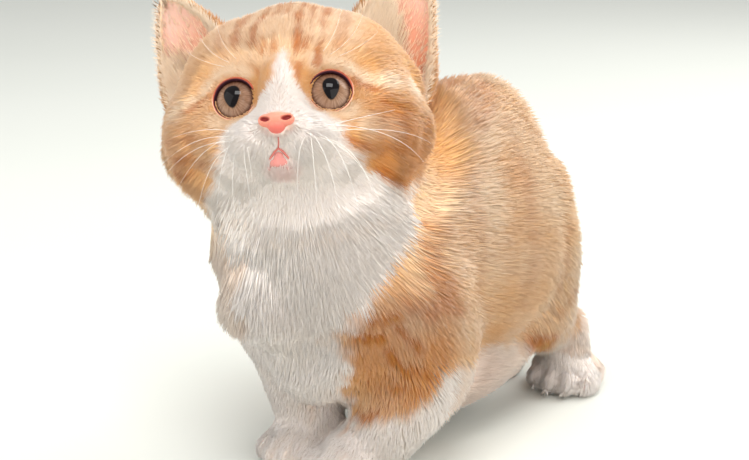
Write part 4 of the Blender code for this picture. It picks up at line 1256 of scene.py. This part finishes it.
# The nostrils' dark red is painted shade inside the shallow pressed-in openings.
for part, colour in (("under", (210, 108, 96)), ("upper", (246, 198, 178)), ("nostril", (128, 22, 22))):
    nose_tone = mixed(nose_tree, attribute(nose_tree, part), nose_tone, rgb(*colour))
painted(nose_tree, nose_shader, nose_tone)
PEBBLE_MM = 0.45
pebbles = add_node(nose_tree, "ShaderNodeTexVoronoi")
fill(nose_tree, pebbles, {"Scale": 1000 / PEBBLE_MM, "Vector": object_place(nose_tree)})
bumped(nose_tree, nose_shader, pebbles.outputs["Distance"], 0.4, 0.06)
nose_balls = [(on_head(place), radii) for place, radii in NOSE_FORMS]
nose = blob("nose_pad", nose_balls, HEAD_AXES, nose_look, 0.22)
nose_points = points_of(nose.data)
nose_local = from_head(nose_points)
nostril_far = np.full(len(nose_local), 9.0)
for hand in (-1, 1):
    gap = nose_local - (hand * 3.1, 43.2, -21.4)
    gap[:, 2] -= 0.25 * hand * gap[:, 0]
    nostril_far = np.minimum(nostril_far, np.linalg.norm(gap / (1.7, 2.4, 0.8), axis=1))
pressed = 1 - eased(0.4, 1.2, nostril_far)
nose_points -= np.outer(1.1 * pressed, HEAD_FRONT)
put_points(nose.data, nose_points)
store(nose.data, "nostril", 1 - eased(0.6, 1.15, nostril_far))
store(nose.data, "under", eased(-22.0, -24.5, nose_local[:, 2]))
store(nose.data, "upper", eased(-20.3, -18.6, nose_local[:, 2]))
hand_over(nose, "pink_skin", "nose")
print("nose faces:", len(nose.data.polygons))

# %% Mouth
MOUTH_LINE = [(-0.4, -27.3), (0.8, -28.2), (2.0, -29.8), (2.9, -31.4), (3.3, -32.8)]
MOUTH_OTHER = [(-4.7, -32.4), (-4.0, -31.0), (-2.9, -29.6), (-1.6, -28.2)]
lip_look, lip_tree, lip_shader = new_material("lip_skin", {
    "Roughness": 0.5, "Specular IOR Level": 0.25, "Subsurface Weight": 0.2, "Subsurface Scale": 0.001,
})
painted(lip_tree, lip_shader, mixed(lip_tree, noise(lip_tree, 1.2), rgb(214, 146, 138), rgb(200, 128, 120)))
bumped(lip_tree, lip_shader, noise(lip_tree, 0.6, 3), 0.4, 0.1)
seam_look, seam_tree, seam_shader = new_material("mouth_line", {"Roughness": 0.6, "Specular IOR Level": 0.1})
seam_tone = mixed(seam_tree, noise(seam_tree, 1.0), rgb(202, 122, 112), rgb(186, 104, 96))
painted(seam_tree, seam_shader, seam_tone)

mouth_path = [on_skin(left, up, 0.85) for left, up in MOUTH_OTHER + MOUTH_LINE]
groove_path = [on_skin(left, up, 0.5) for left, up in ((0, -25.0), (-0.1, -26.0), (-0.4, -27.3))]
mouth_size = 0.36 * np.sin(np.linspace(0.3, math.pi - 0.3, len(mouth_path)))
mouth = rods("mouth_line", [(mouth_path, mouth_size), (groove_path, [0.16, 0.17, 0.24])], 8, seam_look)
lip = blob("lower_lip", [
    (on_skin(-0.5, -29.4), (1.6, 1.4, 1.7)), (on_skin(-0.6, -31.0), (3.0, 1.7, 1.7)),
    (on_skin(1.5, -31.6), (2.0, 1.6, 1.4)), (on_skin(-2.8, -31.4), (2.0, 1.6, 1.4)),
], HEAD_AXES, lip_look)
hand_over(mouth, "pink_skin")
hand_over(lip, "pink_skin")
print("mouth points:", len(mouth_path), "lip faces:", len(lip.data.polygons))

# %% [markdown]
# ## Whiskers and brow hairs
# A kitten's whiskers are stiff white hairs, thinner than a pencil line, in rows on each pad. They leave the
# pad sideways and bow under their own weight. Each is a quadratic curve from a root on the pad to a listed
# tip, with a small seeded change. Random tips would be less work, but hairs then cross the eyes.

# %% Whiskers
whisker_chance = np.random.default_rng(5)
BOX_LOW, BOX_HIGH = (in_body(corner) for corner in CAD_BOX)
HAIR_MARGIN = 0.6
HAIR_POINTS = 16
WHISKERS = [
    # root: left and up on the pad. tip: left, front and up from the head's middle
    ((10.5, -23.0), (32.7, 26, -14.9)), ((13.0, -23.5), (42.4, 22, -24.7)), ((8.0, -25.5), (5.0, 40, -42.0)),
    ((9.0, -24.0), (10.3, 40, -46.8)), ((11.5, -24.5), (21.1, 34, -47.1)),
    ((12.5, -25.5), (25.1, 32, -40.9)), ((10.0, -25.5), (27.9, 28, -47.2)),
    ((8.0, -23.5), (16.3, 38, -49.5)), ((11.0, -21.5), (40.0, 24, -31.0)),
    ((-12.5, -23.0), (-41.5, 18, -23.1)), ((-10.5, -22.0), (-34.2, 22, -16.4)),
    ((-12.0, -25.5), (-37.1, 24, -43.8)), ((-9.5, -25.0), (-24.0, 34, -47.9)),
    ((-8.0, -25.5), (-17.0, 38, -49.7)), ((-7.5, -27.0), (-13.1, 40, -39.0)),
    ((-10.5, -24.0), (-38.0, 20, -31.7)), ((-9.0, -23.0), (-29.0, 30, -44.0)),
    ((-12.5, -24.5), (-44.0, 20, -28.0)),
]
BROW_HAIRS = [
    ((12, 4.0), (19, 29, 18)), ((14, 3.6), (25, 27, 16)), ((16, 3.0), (29, 25, 11)),
    ((-12, 4.0), (-19, 28, 18)), ((-14, 3.6), (-25, 26, 16)), ((-16, 3.0), (-29, 24, 11)),
]


def bowed(root, tip, thickness, bulge):
    """A hair from its root on the skin out to the side, then bent to its tip."""
    start = from_head(on_skin(*root, -0.3)[None])[0]
    tip = np.array(tip, float)
    ahead = max(start[1], tip[1]) + bulge
    middle = np.array((0.75 * tip[0] + 0.25 * start[0], ahead, 0.8 * start[2] + 0.2 * tip[2]))
    share = np.linspace(0, 1, HAIR_POINTS)[:, None]
    path = (1 - share) ** 2 * start + 2 * share * (1 - share) * middle + share**2 * tip
    places = np.array([on_head(place) for place in path])
    places = np.clip(places, BOX_LOW + HAIR_MARGIN, BOX_HIGH - HAIR_MARGIN)
    return places, np.linspace(thickness, 0.25 * thickness, HAIR_POINTS)


WHISKER_RADIUS = 0.075
BROW_RADIUS = 0.045
hairs = [bowed(root, tip, WHISKER_RADIUS, whisker_chance.uniform(1.5, 3.0)) for root, tip in WHISKERS]
hairs += [bowed(root, tip, BROW_RADIUS, 3.0) for root, tip in BROW_HAIRS]
whisker_look, whisker_tree, whisker_shader = new_material("whisker_white", {"Roughness": 0.35})
painted(whisker_tree, whisker_shader, ramp(whisker_tree, attribute(whisker_tree, "along"), [
    (0.0, (246, 238, 230)), (1.0, (255, 252, 248)),
]))
whiskers = rods("whiskers", hairs, 6, whisker_look)
hand_over(whiskers, "white_coat")
print("whisker triangles:", sum(len(face.vertices) - 2 for face in whiskers.data.polygons))

# %% [markdown]
# ## Claws and pads
# The tips of the claws show between the toes' fur as small hooked points, flushed pink. They are rods on a
# bent path that ends thin. The pads below are soft bare ovals that carry the kitten on the floor.

# %% Claws and pads
TOES = ((-0.74, 0.6), (-0.26, 0.95), (0.26, 0.95), (0.74, 0.6))
PAWS = [
    # middle of the paw on the floor, its turn in degrees, half its width and half its length
    ((10, 5, 0), -4, 11.0, 12.5), ((-14, 3.5, 0), 12, 11.0, 12.5),
    ((15.5, 116, 0), 20, 13.0, 11.5), ((-15.5, 110, 0), 20, 13.0, 11.5),
]
CLAW_BEND = ((0, 0, 0), (0, -1.1, 0.1), (0, -2.0, -0.4), (0, -2.7, -1.1), (0, -3.0, -1.8))
claw_paths = []
pad_places = []
for place, yaw, wide, long in PAWS:
    paw_axes = turned("Z", yaw)
    for spread, reach in TOES:
        start = np.array(place) + paw_axes @ (spread * wide, -reach * long - 3.0, 4.4)
        path = np.array([start + paw_axes @ np.array(step) for step in CLAW_BEND])
        claw_paths.append((path, [0.6, 0.58, 0.46, 0.28, 0.07]))
        toe = np.array(place) + paw_axes @ (spread * wide, -reach * long + 0.4, 1.6)
        pad_places.append((toe, (2.2, 2.7, 1.5)))
    pad_places.append((np.array(place) + paw_axes @ (0, -0.05 * long, 1.7), (5.2, 4.4, 1.6)))
claw_look, claw_tree, claw_shader = new_material("claw_horn", {"Roughness": 0.3, "Coat Weight": 0.3})
painted(claw_tree, claw_shader, ramp(claw_tree, attribute(claw_tree, "along"), [
    (0.0, (196, 96, 96)), (0.5, (206, 124, 120)), (1.0, (240, 214, 204)),
]))
claws = rods("claws", claw_paths, 10, claw_look)
pad_look, pad_tree, pad_shader = new_material("pad_skin", {"Roughness": 0.55})
painted(pad_tree, pad_shader, mixed(pad_tree, noise(pad_tree, 2.0), rgb(236, 160, 148), rgb(222, 138, 128)))
bumped(pad_tree, pad_shader, noise(pad_tree, 0.6, 4), 0.5, 0.15)
pads = blob("paw_pads", pad_places, turned("Z", 17), pad_look, 0.6)
hand_over(claws, "pink_skin")
hand_over(pads, "pink_skin")
print("claws:", len(claw_paths), "pads:", len(pad_places))

# %% [markdown]
# ## The lie of the coat
# Fur grows backwards from the nose over the head, back along the trunk, and down the chest and legs.
# Combing particle hair by hand is common, but particles don't export. Here each skin point gets a
# direction: on the head straight away from the nose, on the body blended between a few combed places.

# %% Comb
BODY_COMB = [
    ((-12, -20, 88), (0.0, -0.1, -1)), ((-8, -27, 70), (0.05, 0, -1)), ((-4, -25, 54), (0, 0, -1)),
    ((-3, -15, 40), (0, 0.1, -1)), ((-3, -11, 27), (0, 0.2, -1)), ((0, 25, 18), (0, 1, -0.1)),
    ((22, 50, 16), (0.1, 0.95, -0.1)), ((-22, 50, 16), (-0.1, 0.95, -0.1)),
    ((22, 12, 96), (0.15, 0.75, -0.65)), ((-28, 10, 96), (-0.15, 0.75, -0.65)),
    ((0, 35, 116), (0, 1, 0)), ((30, 0, 78), (0.1, 0.6, -0.8)), ((-32, 0, 76), (-0.1, 0.6, -0.8)),
    ((34, 20, 84), (0, 1, -0.35)), ((-34, 20, 84), (0, 1, -0.35)), ((37, 45, 65), (0, 1, -0.2)),
    ((-37, 45, 65), (0, 1, -0.2)), ((33, 50, 40), (0, 0.9, -0.45)), ((-33, 50, 40), (0, 0.9, -0.45)),
    ((0, 55, 116), (0, 1, 0.05)), ((24, 60, 100), (0.1, 1, 0.02)), ((-24, 60, 100), (-0.1, 1, 0.02)),
    ((0, 80, 110), (0, 1, -0.15)), ((0, 100, 90), (0, 0.4, -0.9)), ((28, 85, 82), (0.1, 1, -0.3)),
    ((-28, 85, 82), (-0.1, 1, -0.3)), ((35, 88, 52), (0, 0.6, -0.8)), ((-35, 88, 52), (0, 0.6, -0.8)),
    ((0, 50, 12), (0, 1, 0)), ((30, -2, 54), (0.1, 0.4, -1)), ((-28, -6, 54), (-0.1, 0.4, -1)),
    ((38, 14, 44), (0, 0.6, -0.8)), ((-36, 12, 44), (0, 0.6, -0.8)), ((24, -2, 32), (0, 0.15, -1)),
    ((-22, -4, 32), (0, 0.15, -1)), ((16, -2, 18), (0, -0.2, -1)), ((-16, -4, 18), (0, -0.2, -1)),
    ((9, -7, 9), (-0.07, -1, -0.4)), ((-14, -8, 9), (0.2, -1, -0.4)), ((14, 12, 6), (0, 0.3, -1)),
    ((-16, 10, 6), (0, 0.3, -1)), ((13, 100, 9), (0.2, -1, -0.4)), ((-18, 94, 9), (0.2, -1, -0.4)),
    ((20, 112, 22), (0, 0.1, -1)), ((-20, 106, 22), (0, 0.1, -1)), ((26, 96, 28), (0, 0.2, -1)),
    ((-26, 92, 28), (0, 0.2, -1)), ((-4, 102, 77), (-0.2, 0.6, -0.75)), ((-10, 117, 58), (-0.35, 0.6, -0.75)),
    ((-22, 134, 33), (-0.6, 0.5, -0.65)), ((-48, 149, 14), (-0.93, 0.25, -0.25)),
]


def combed(points, normals):
    """The coat's direction along the skin at each place."""
    local = from_head(points)
    away = local - (0, 47, -20)
    away[:, 2] -= 10 * eased(14, 34, np.abs(local[:, 0]))
    heading = unit((away * (1, -1, 1)) @ HEAD_AXES.T)
    body = unit(blended(points, BODY_COMB))
    _, y, z = points.T
    neck_line = np.minimum(z - (93 + 0.2 * y), 40 + 0.4 * (z - 101) - y)
    share = eased(-7, 9, neck_line)[:, None]
    lie = heading * share + body * (1 - share)
    return unit(lie - np.sum(lie * normals, axis=1)[:, None] * normals)


skin_comb = unit(relaxed(combed(skin_points, skin_normals), skin_ends, 6))
print("combed places:", len(BODY_COMB))

# %% [markdown]
# ## Tufts
# A coat has far too many hairs to model one by one, so each tuft stands for a few dozen that cling
# together: a thin closed blade of four triangles, bent so that it rises from the skin and then lies down.
# A few different bends are enough, because each copy is turned, sized and shaded differently.

# %% Tuft shapes
TUFT_BENDS = [(0.10, 0.05), (0.07, -0.07), (0.12, 0.10), (0.06, 0.0), (0.09, -0.12)]
tuft_shapes = bpy.data.collections.new("tuft_shapes")


def tuft_mesh(name, rise, drift):
    """A bent closed blade one unit long and wide: a root, two shoulders and a tip, four triangles in all."""
    shape = bmesh.new()
    root = shape.verts.new((0.0, 0.0, 0.0))
    tip = shape.verts.new((drift, 1.0, 0.0))
    aside = 0.35 * drift
    left = shape.verts.new((aside - 0.5, 0.38, rise))
    right = shape.verts.new((aside + 0.5, 0.38, rise))
    for corners in ((root, left, right), (tip, right, left), (root, right, tip), (root, tip, left)):
        shape.faces.new(corners)
    bmesh.ops.recalc_face_normals(shape, faces=shape.faces)
    mesh = bpy.data.meshes.new(name)
    shape.to_mesh(mesh)
    shape.free()
    places = np.array([vert.co for vert in mesh.vertices])
    store(mesh, "along", places[:, 1])
    patch = np.stack([places[:, 0] + 0.5, places[:, 1], places[:, 0] * 0], axis=1)
    store(mesh, "patch", patch, "FLOAT_VECTOR")
    return mesh


for number, (rise, drift) in enumerate(TUFT_BENDS):
    shape_object = bpy.data.objects.new(f"tuft_{number}", tuft_mesh(f"tuft_{number}", rise, drift))
    tuft_shapes.objects.link(shape_object)

# %% [markdown]
# ## The coat's node tree
# The tree scatters roots over the skin, pulls neighbouring tufts towards shared points so that they form
# the soft clumps a real coat shows, leans them out from the skin and sets a tuft on each. Scattering with a
# loop in Python would work too, but the tree keeps the skin's markings on each tuft by itself.

# %% Helpers for the coat tree


def vector_math(tree, operation, first, second=None, scale=None):
    node = add_node(tree, "ShaderNodeVectorMath", operation=operation)
    fill(tree, node, {0: first, 1: second, 3: scale})
    return node.outputs["Value" if operation == "DOT_PRODUCT" else "Vector"]


def added(tree, total, *others):
    for other in others:
        total = vector_math(tree, "ADD", total, other)
    return total


def scaled(tree, vector, scale):
    return vector_math(tree, "SCALE", vector, scale=scale)


def chance(tree, kind, low, high, seed, step=0):
    """A random value for each point, between low and high, from this many steps after the seed."""
    node = add_node(tree, "FunctionNodeRandomValue", data_type=kind)
    first = {"FLOAT_VECTOR": 0, "FLOAT": 2, "INT": 4}[kind]
    fill(tree, node, {first: low, first + 1: high, "Seed": plus(tree, seed, step)})
    return node.outputs[first // 2]


def clump_middle(tree, size):
    """The way to the nearest of many scattered clump points, and that clump's own random colour."""
    place = add_node(tree, "GeometryNodeInputPosition").outputs[0]
    cells = add_node(tree, "ShaderNodeTexVoronoi")
    fill(tree, cells, {"Vector": place, "Scale": worked(tree, "DIVIDE", 1.0, size)})
    return vector_math(tree, "SUBTRACT", cells.outputs["Position"], place), cells.outputs["Color"]


def tuft_turn(tree, start, length, pulls):
    """Each tuft's rotation: combed, pulled to its clumps, a little wayward, and leaning out."""
    normal = named(tree, "out", "FLOAT_VECTOR")
    step = scaled(tree, named(tree, "comb", "FLOAT_VECTOR"), length)
    pulls = [scaled(tree, pull, start["Clump pull"]) for pull in pulls]
    loose = chance(tree, "FLOAT_VECTOR", (-1, -1, -1), (1, 1, 1), start["Seed"])
    aim = added(tree, step, *pulls, scaled(tree, loose, times(tree, length, start["Waywardness"])))
    outward = scaled(tree, normal, vector_math(tree, "DOT_PRODUCT", aim, normal))
    flat = vector_math(tree, "NORMALIZE", vector_math(tree, "SUBTRACT", aim, outward))
    lean = times(tree, named(tree, "lean"), chance(tree, "FLOAT", 0.85, 1.12, start["Seed"], 1))
    rise = scaled(tree, normal, worked(tree, "SINE", lean))
    heading = added(tree, scaled(tree, flat, worked(tree, "COSINE", lean)), rise)
    turn = add_node(tree, "FunctionNodeAxesToRotation", primary_axis="Y", secondary_axis="Z")
    return fill(tree, turn, {0: heading, 1: normal}).outputs[0]


def tuft_tone(tree, seed, big_tone, small_tone):
    """Each tuft's shade: half its own, the rest from its large and its small clump."""
    tone = times(tree, chance(tree, "FLOAT", 0.0, 1.0, seed, 4), 0.5)
    tone = plus(tree, tone, times(tree, big_tone, 0.2))
    return plus(tree, tone, times(tree, small_tone, 0.3))


SMALL_CLUMP = 0.33
PATCH_SIZE = 0.003


def bake_spot(tree):
    """Each corner's place in OFBake: its root's place on the unwrapped skin, with a small patch round it."""
    corner = vector_math(tree, "SUBTRACT", named(tree, "patch", "FLOAT_VECTOR"), (0.5, 0.5, 0.0))
    return added(tree, named(tree, "root_place", "FLOAT_VECTOR"), scaled(tree, corner, PATCH_SIZE))


print("coat tree helpers ready")

# %% Build the coat tree
COAT_INPUTS = {
    "Skin": "Geometry", "Tuft shapes": "Collection", "Tufts per square mm": "Float", "Clump size": "Float",
    "Clump pull": "Float", "Waywardness": "Float", "Seed": "Int", "Finish": "Material",
}


def build_coat_tree():
    tree, start = new_tree("coat_of_tufts", COAT_INPUTS, "Coat")
    seed = start["Seed"]
    length = named(tree, "length")
    density = times(tree, named(tree, "crowding"), times(tree, start["Tufts per square mm"], 1e6))
    big_pull, big_tone = clump_middle(tree, start["Clump size"])
    small_pull, small_tone = clump_middle(tree, times(tree, start["Clump size"], SMALL_CLUMP))
    reach = times(tree, length, chance(tree, "FLOAT", 0.8, 1.08, seed, 2))
    size = add_node(tree, "ShaderNodeCombineXYZ")
    fill(tree, size, {0: named(tree, "width"), 1: reach, 2: reach})
    shapes = add_node(tree, "GeometryNodeCollectionInfo")
    each = {"Separate Children": True, "Reset Children": True}
    fill(tree, shapes, {"Collection": start["Tuft shapes"], **each})
    coat = through(tree, start["Skin"], "DistributePointsOnFaces", {"Density": density, "Seed": seed})
    tone = tuft_tone(tree, seed, big_tone, small_tone)
    coat = through(tree, coat, "StoreNamedAttribute", {"Name": "shade", "Value": tone}, data_type="FLOAT")
    coat = through(tree, coat, "InstanceOnPoints", {
        "Instance": shapes.outputs[0], "Pick Instance": True,
        "Instance Index": chance(tree, "INT", 0, len(TUFT_BENDS) - 1, seed, 3),
        "Rotation": tuft_turn(tree, start, length, (big_pull, small_pull)), "Scale": size.outputs[0],
    })
    coat = through(tree, coat, "RealizeInstances")
    unwrap = {"Name": "OFBake", "Value": bake_spot(tree)}
    coat = through(tree, coat, "StoreNamedAttribute", unwrap, data_type="FLOAT2", domain="CORNER")
    coat = through(tree, coat, "SetShadeSmooth")
    coat = through(tree, coat, "SetMaterial", {"Material": start["Finish"]})
    fill(tree, add_node(tree, "NodeGroupOutput"), {0: coat})
    return tree


coat_tree = build_coat_tree()
print("nodes in the coat tree:", len(coat_tree.nodes))

# %% [markdown]
# ## Length, width and lean
# A tuft that leans out by thirty degrees reaches half its length above the skin. So the length at each
# place follows from the coat's depth there and the lean, and the tips come close to the CAD surface. One
# length for all is simpler, but it would bury the nose or bare the cheeks. A tuft shows its colour well
# behind its root, so the markings are read again from where its outer half lies. Face and feet get narrow,
# flat tufts and the body wider ones.

# %% Coat sizes on the skin
skin_local = from_head(skin_points)
on_face = eased(8, 24, skin_local[:, 1]) * eased(-44, -36, skin_local[:, 2])
on_feet = 1 - eased(12, 26, skin_points[:, 2])
fine = np.maximum(on_face, on_feet)
BODY_LEAN = 23
FINE_LEAN = 17
RIM_LEAN = 9
skin_lean = np.radians(BODY_LEAN + (FINE_LEAN - BODY_LEAN) * fine)
skin_length = np.clip(0.98 * skin_depth / np.sin(skin_lean) / 1.04, 1.5, 14.0)
on_forelegs = eased(66, 56, skin_points[:, 2]) * eased(26, 16, skin_points[:, 1])
skin_lean = skin_lean * (1 + 0.35 * on_forelegs)
skin_length = skin_length * (1 - 0.28 * on_forelegs)
skin_width = 0.15 + 0.013 * skin_length
mouth_gap = mouth_pink(skin_points)
nose_gap = oval_far(skin_local, (0, 41.8, -21.6), (5.0, 4.0, 3.6))
eye_clear = np.ones(len(skin_points))
for side in EYE_PLACES:
    aside, ahead = round_the_eye(skin_points, side)
    eye_clear *= np.where(ahead > 0, eased(6.7, 7.9, aside), 1.0)
    rim = np.where(ahead > 0, 1 - eased(8.0, 13.0, aside), 0.0)
    skin_length = skin_length * (1 - rim) + 2.0 * rim
    skin_lean = skin_lean * (1 - rim) + math.radians(RIM_LEAN) * rim
crowding = (1 + 1.3 * fine) * eye_clear * (1 - eased(0.3, 0.8, mouth_gap)) * eased(0.95, 1.2, nose_gap)
crowding = crowding * eased(0.8, 2.5, skin_points[:, 2])
mark_places = skin_points + (0.55 * skin_length)[:, None] * skin_comb
mark_places += skin_normals * (0.7 * skin_depth)[:, None]
for label, values in zip(("white", "stripe", "cream"), markings(mark_places)):
    skin.data.attributes[label].data.foreach_set("value", values.astype(np.float32))
print("tuft length from", skin_length.min().round(1), "to", skin_length.max().round(1), "mm")

# %% Split the skin into coat regions


def region_of(points):
    """The number of the coat piece that each place belongs to."""
    local = from_head(points)
    x, y, z = points.T
    head = (z > 91 + 0.2 * y) & (y < 40 + 0.4 * (z - 101))
    names = np.full(len(points), "right_flank", dtype="<U16")
    names[x > 0] = "left_flank"
    names[(y > 72) & (z > 40)] = "rump"
    names[(y > 92) & (x < 30) & (z > 20) | (y > 122)] = "rump"
    names[(z < 45) & (y > 60) & (y <= 122)] = "hind_legs"
    names[(y < 14) & (z > 46)] = "chest"
    names[(z <= 46) & (y < 36)] = "forelegs"
    names[head] = "crown"
    names[head & (local[:, 1] > 19)] = "face"
    names[head & (local[:, 1] <= 19) & (local[:, 2] < 2)] = "right_cheek"
    names[head & (local[:, 1] <= 19) & (local[:, 2] < 2) & (local[:, 0] > 0)] = "left_cheek"
    return names


def unwrapped(obj):
    """Unwraps the object's own shape and keeps each corner's place there as an attribute."""
    bpy.context.view_layer.objects.active = obj
    obj.select_set(True)
    bpy.ops.object.mode_set(mode="EDIT")
    bpy.ops.mesh.select_all(action="SELECT")
    bpy.ops.uv.smart_project(angle_limit=math.radians(60), island_margin=0.005)
    bpy.ops.object.mode_set(mode="OBJECT")
    obj.select_set(False)
    flat = fetched(obj.data.uv_layers.active.data, "uv", 2)
    places = np.column_stack((flat, np.zeros(len(flat))))
    store(obj.data, "root_place", places, "FLOAT_VECTOR", "CORNER")
    return obj


def patch_of_skin(name, chosen):
    """A copy of the skin that keeps only the chosen faces."""
    copy = mesh_object(name, skin.data.copy())
    shape = bmesh.new()
    shape.from_mesh(copy.data)
    shape.faces.ensure_lookup_table()
    unwanted = [face for face, keep in zip(shape.faces, chosen) if not keep]
    bmesh.ops.delete(shape, geom=unwanted, context="FACES")
    shape.to_mesh(copy.data)
    shape.free()
    return unwrapped(copy)


store(skin.data, "comb", skin_comb, "FLOAT_VECTOR")
store(skin.data, "out", skin_normals, "FLOAT_VECTOR")
store(skin.data, "length", skin_length * MM)
store(skin.data, "width", skin_width * MM)
store(skin.data, "lean", skin_lean)
store(skin.data, "crowding", crowding)
skin_regions = region_of(skin_points[corners_of(skin.data)].mean(axis=1))
print({str(name): int(count) for name, count in zip(*np.unique(skin_regions, return_counts=True))})

# %% Grow the coat
KEPT_MARKS = {"white", "stripe", "cream", "pink", "shade", "along", "OFBake"}
FLOOR_GAP = 0.3
coat_pieces = []


def soften_tufts(mesh, share, lit):
    """Turns each tuft's shading normals towards the skin's, so that the coat shades as one soft surface."""
    own = fetched(mesh.vertex_normals, "vector", 3)
    skin_out = fetched(mesh.attributes["out"].data, "vector", 3)
    mesh.normals_split_custom_set_from_vertices(unit((1 - share) * own + share * skin_out + lit))


def grow_coat(name, roots, per_mm, clump_mm, pull, wayward, seed, softness, lit=(0, 0, 0)):
    """Runs the coat tree on a patch of skin and leaves a plain mesh of tufts, inside the CAD box."""
    run_tree(roots, coat_tree, {
        "Tuft shapes": tuft_shapes, "Tufts per square mm": per_mm, "Clump size": clump_mm * MM,
        "Clump pull": pull, "Waywardness": wayward, "Seed": seed, "Finish": coat_look,
    })
    mesh = roots.data
    put_points(mesh, np.clip(points_of(mesh), (BOX_LOW[0], BOX_LOW[1], FLOOR_GAP), BOX_HIGH))
    soften_tufts(mesh, softness, np.array(lit))
    for label in [made.name for made in mesh.attributes if not made.is_required]:
        if label not in KEPT_MARKS and not label.startswith((".", "sharp", "material", "custom")):
            mesh.attributes.remove(mesh.attributes[label])
    roots.name = mesh.name = name
    coat_pieces.append(roots)
    print(name, "triangles:", len(mesh.polygons))


COAT_PLAN = {
    # tufts per square mm, clump size in mm, clump pull, waywardness, seed, softness
    "face": (6.0, 2.4, 0.25, 0.08, 101, 0.6), "crown": (6.3, 3.6, 0.3, 0.09, 102, 0.6),
    "left_cheek": (9.0, 4.0, 0.35, 0.10, 103, 0.6), "right_cheek": (7.5, 4.0, 0.35, 0.10, 104, 0.6),
    "chest": (7.5, 4.5, 0.22, 0.08, 105, 0.8), "left_flank": (7.5, 4.5, 0.28, 0.08, 106, 0.8),
    "right_flank": (6.0, 4.5, 0.28, 0.08, 107, 0.8), "rump": (3.7, 4.5, 0.28, 0.08, 108, 0.8),
    "forelegs": (2.8, 3.2, 0.3, 0.09, 109, 0.6), "hind_legs": (3.0, 3.2, 0.3, 0.09, 110, 0.6),
}
for region_name, settings in COAT_PLAN.items():
    patch = patch_of_skin(region_name, skin_regions == region_name)
    grow_coat(f"coat_{region_name}", patch, *settings)
for side, ear in ears.items():
    patch = unwrapped(mesh_object(f"ear_{side}_roots", ear.data.copy()))
    pink = patch.data.attributes["pink"].data
    pink.foreach_set("value", np.zeros(len(pink), np.float32))
    seed = 121 if side == "left" else 120
    grow_coat(f"coat_ear_{side}", patch, 7.5, 3.0, 0.3, 0.12, seed, 0.8, 0.7 * HEAD_FRONT)
print("coat triangles:", sum(len(piece.data.polygons) for piece in coat_pieces))

# %% Hand the skin and coat to the frame
for mesh in (skin.data, ears["left"].data, ears["right"].data):
    for label in ("comb", "out", "length", "width", "lean", "crowding"):
        mesh.attributes.remove(mesh.attributes[label])
for side, ear in ears.items():
    hand_over(ear, "pink_skin", f"ear_{side}")
hand_over(skin, "orange_coat", *FLESH)
for piece in coat_pieces:
    hand_over(piece, "orange_coat")
print("coat pieces:", len(coat_pieces))
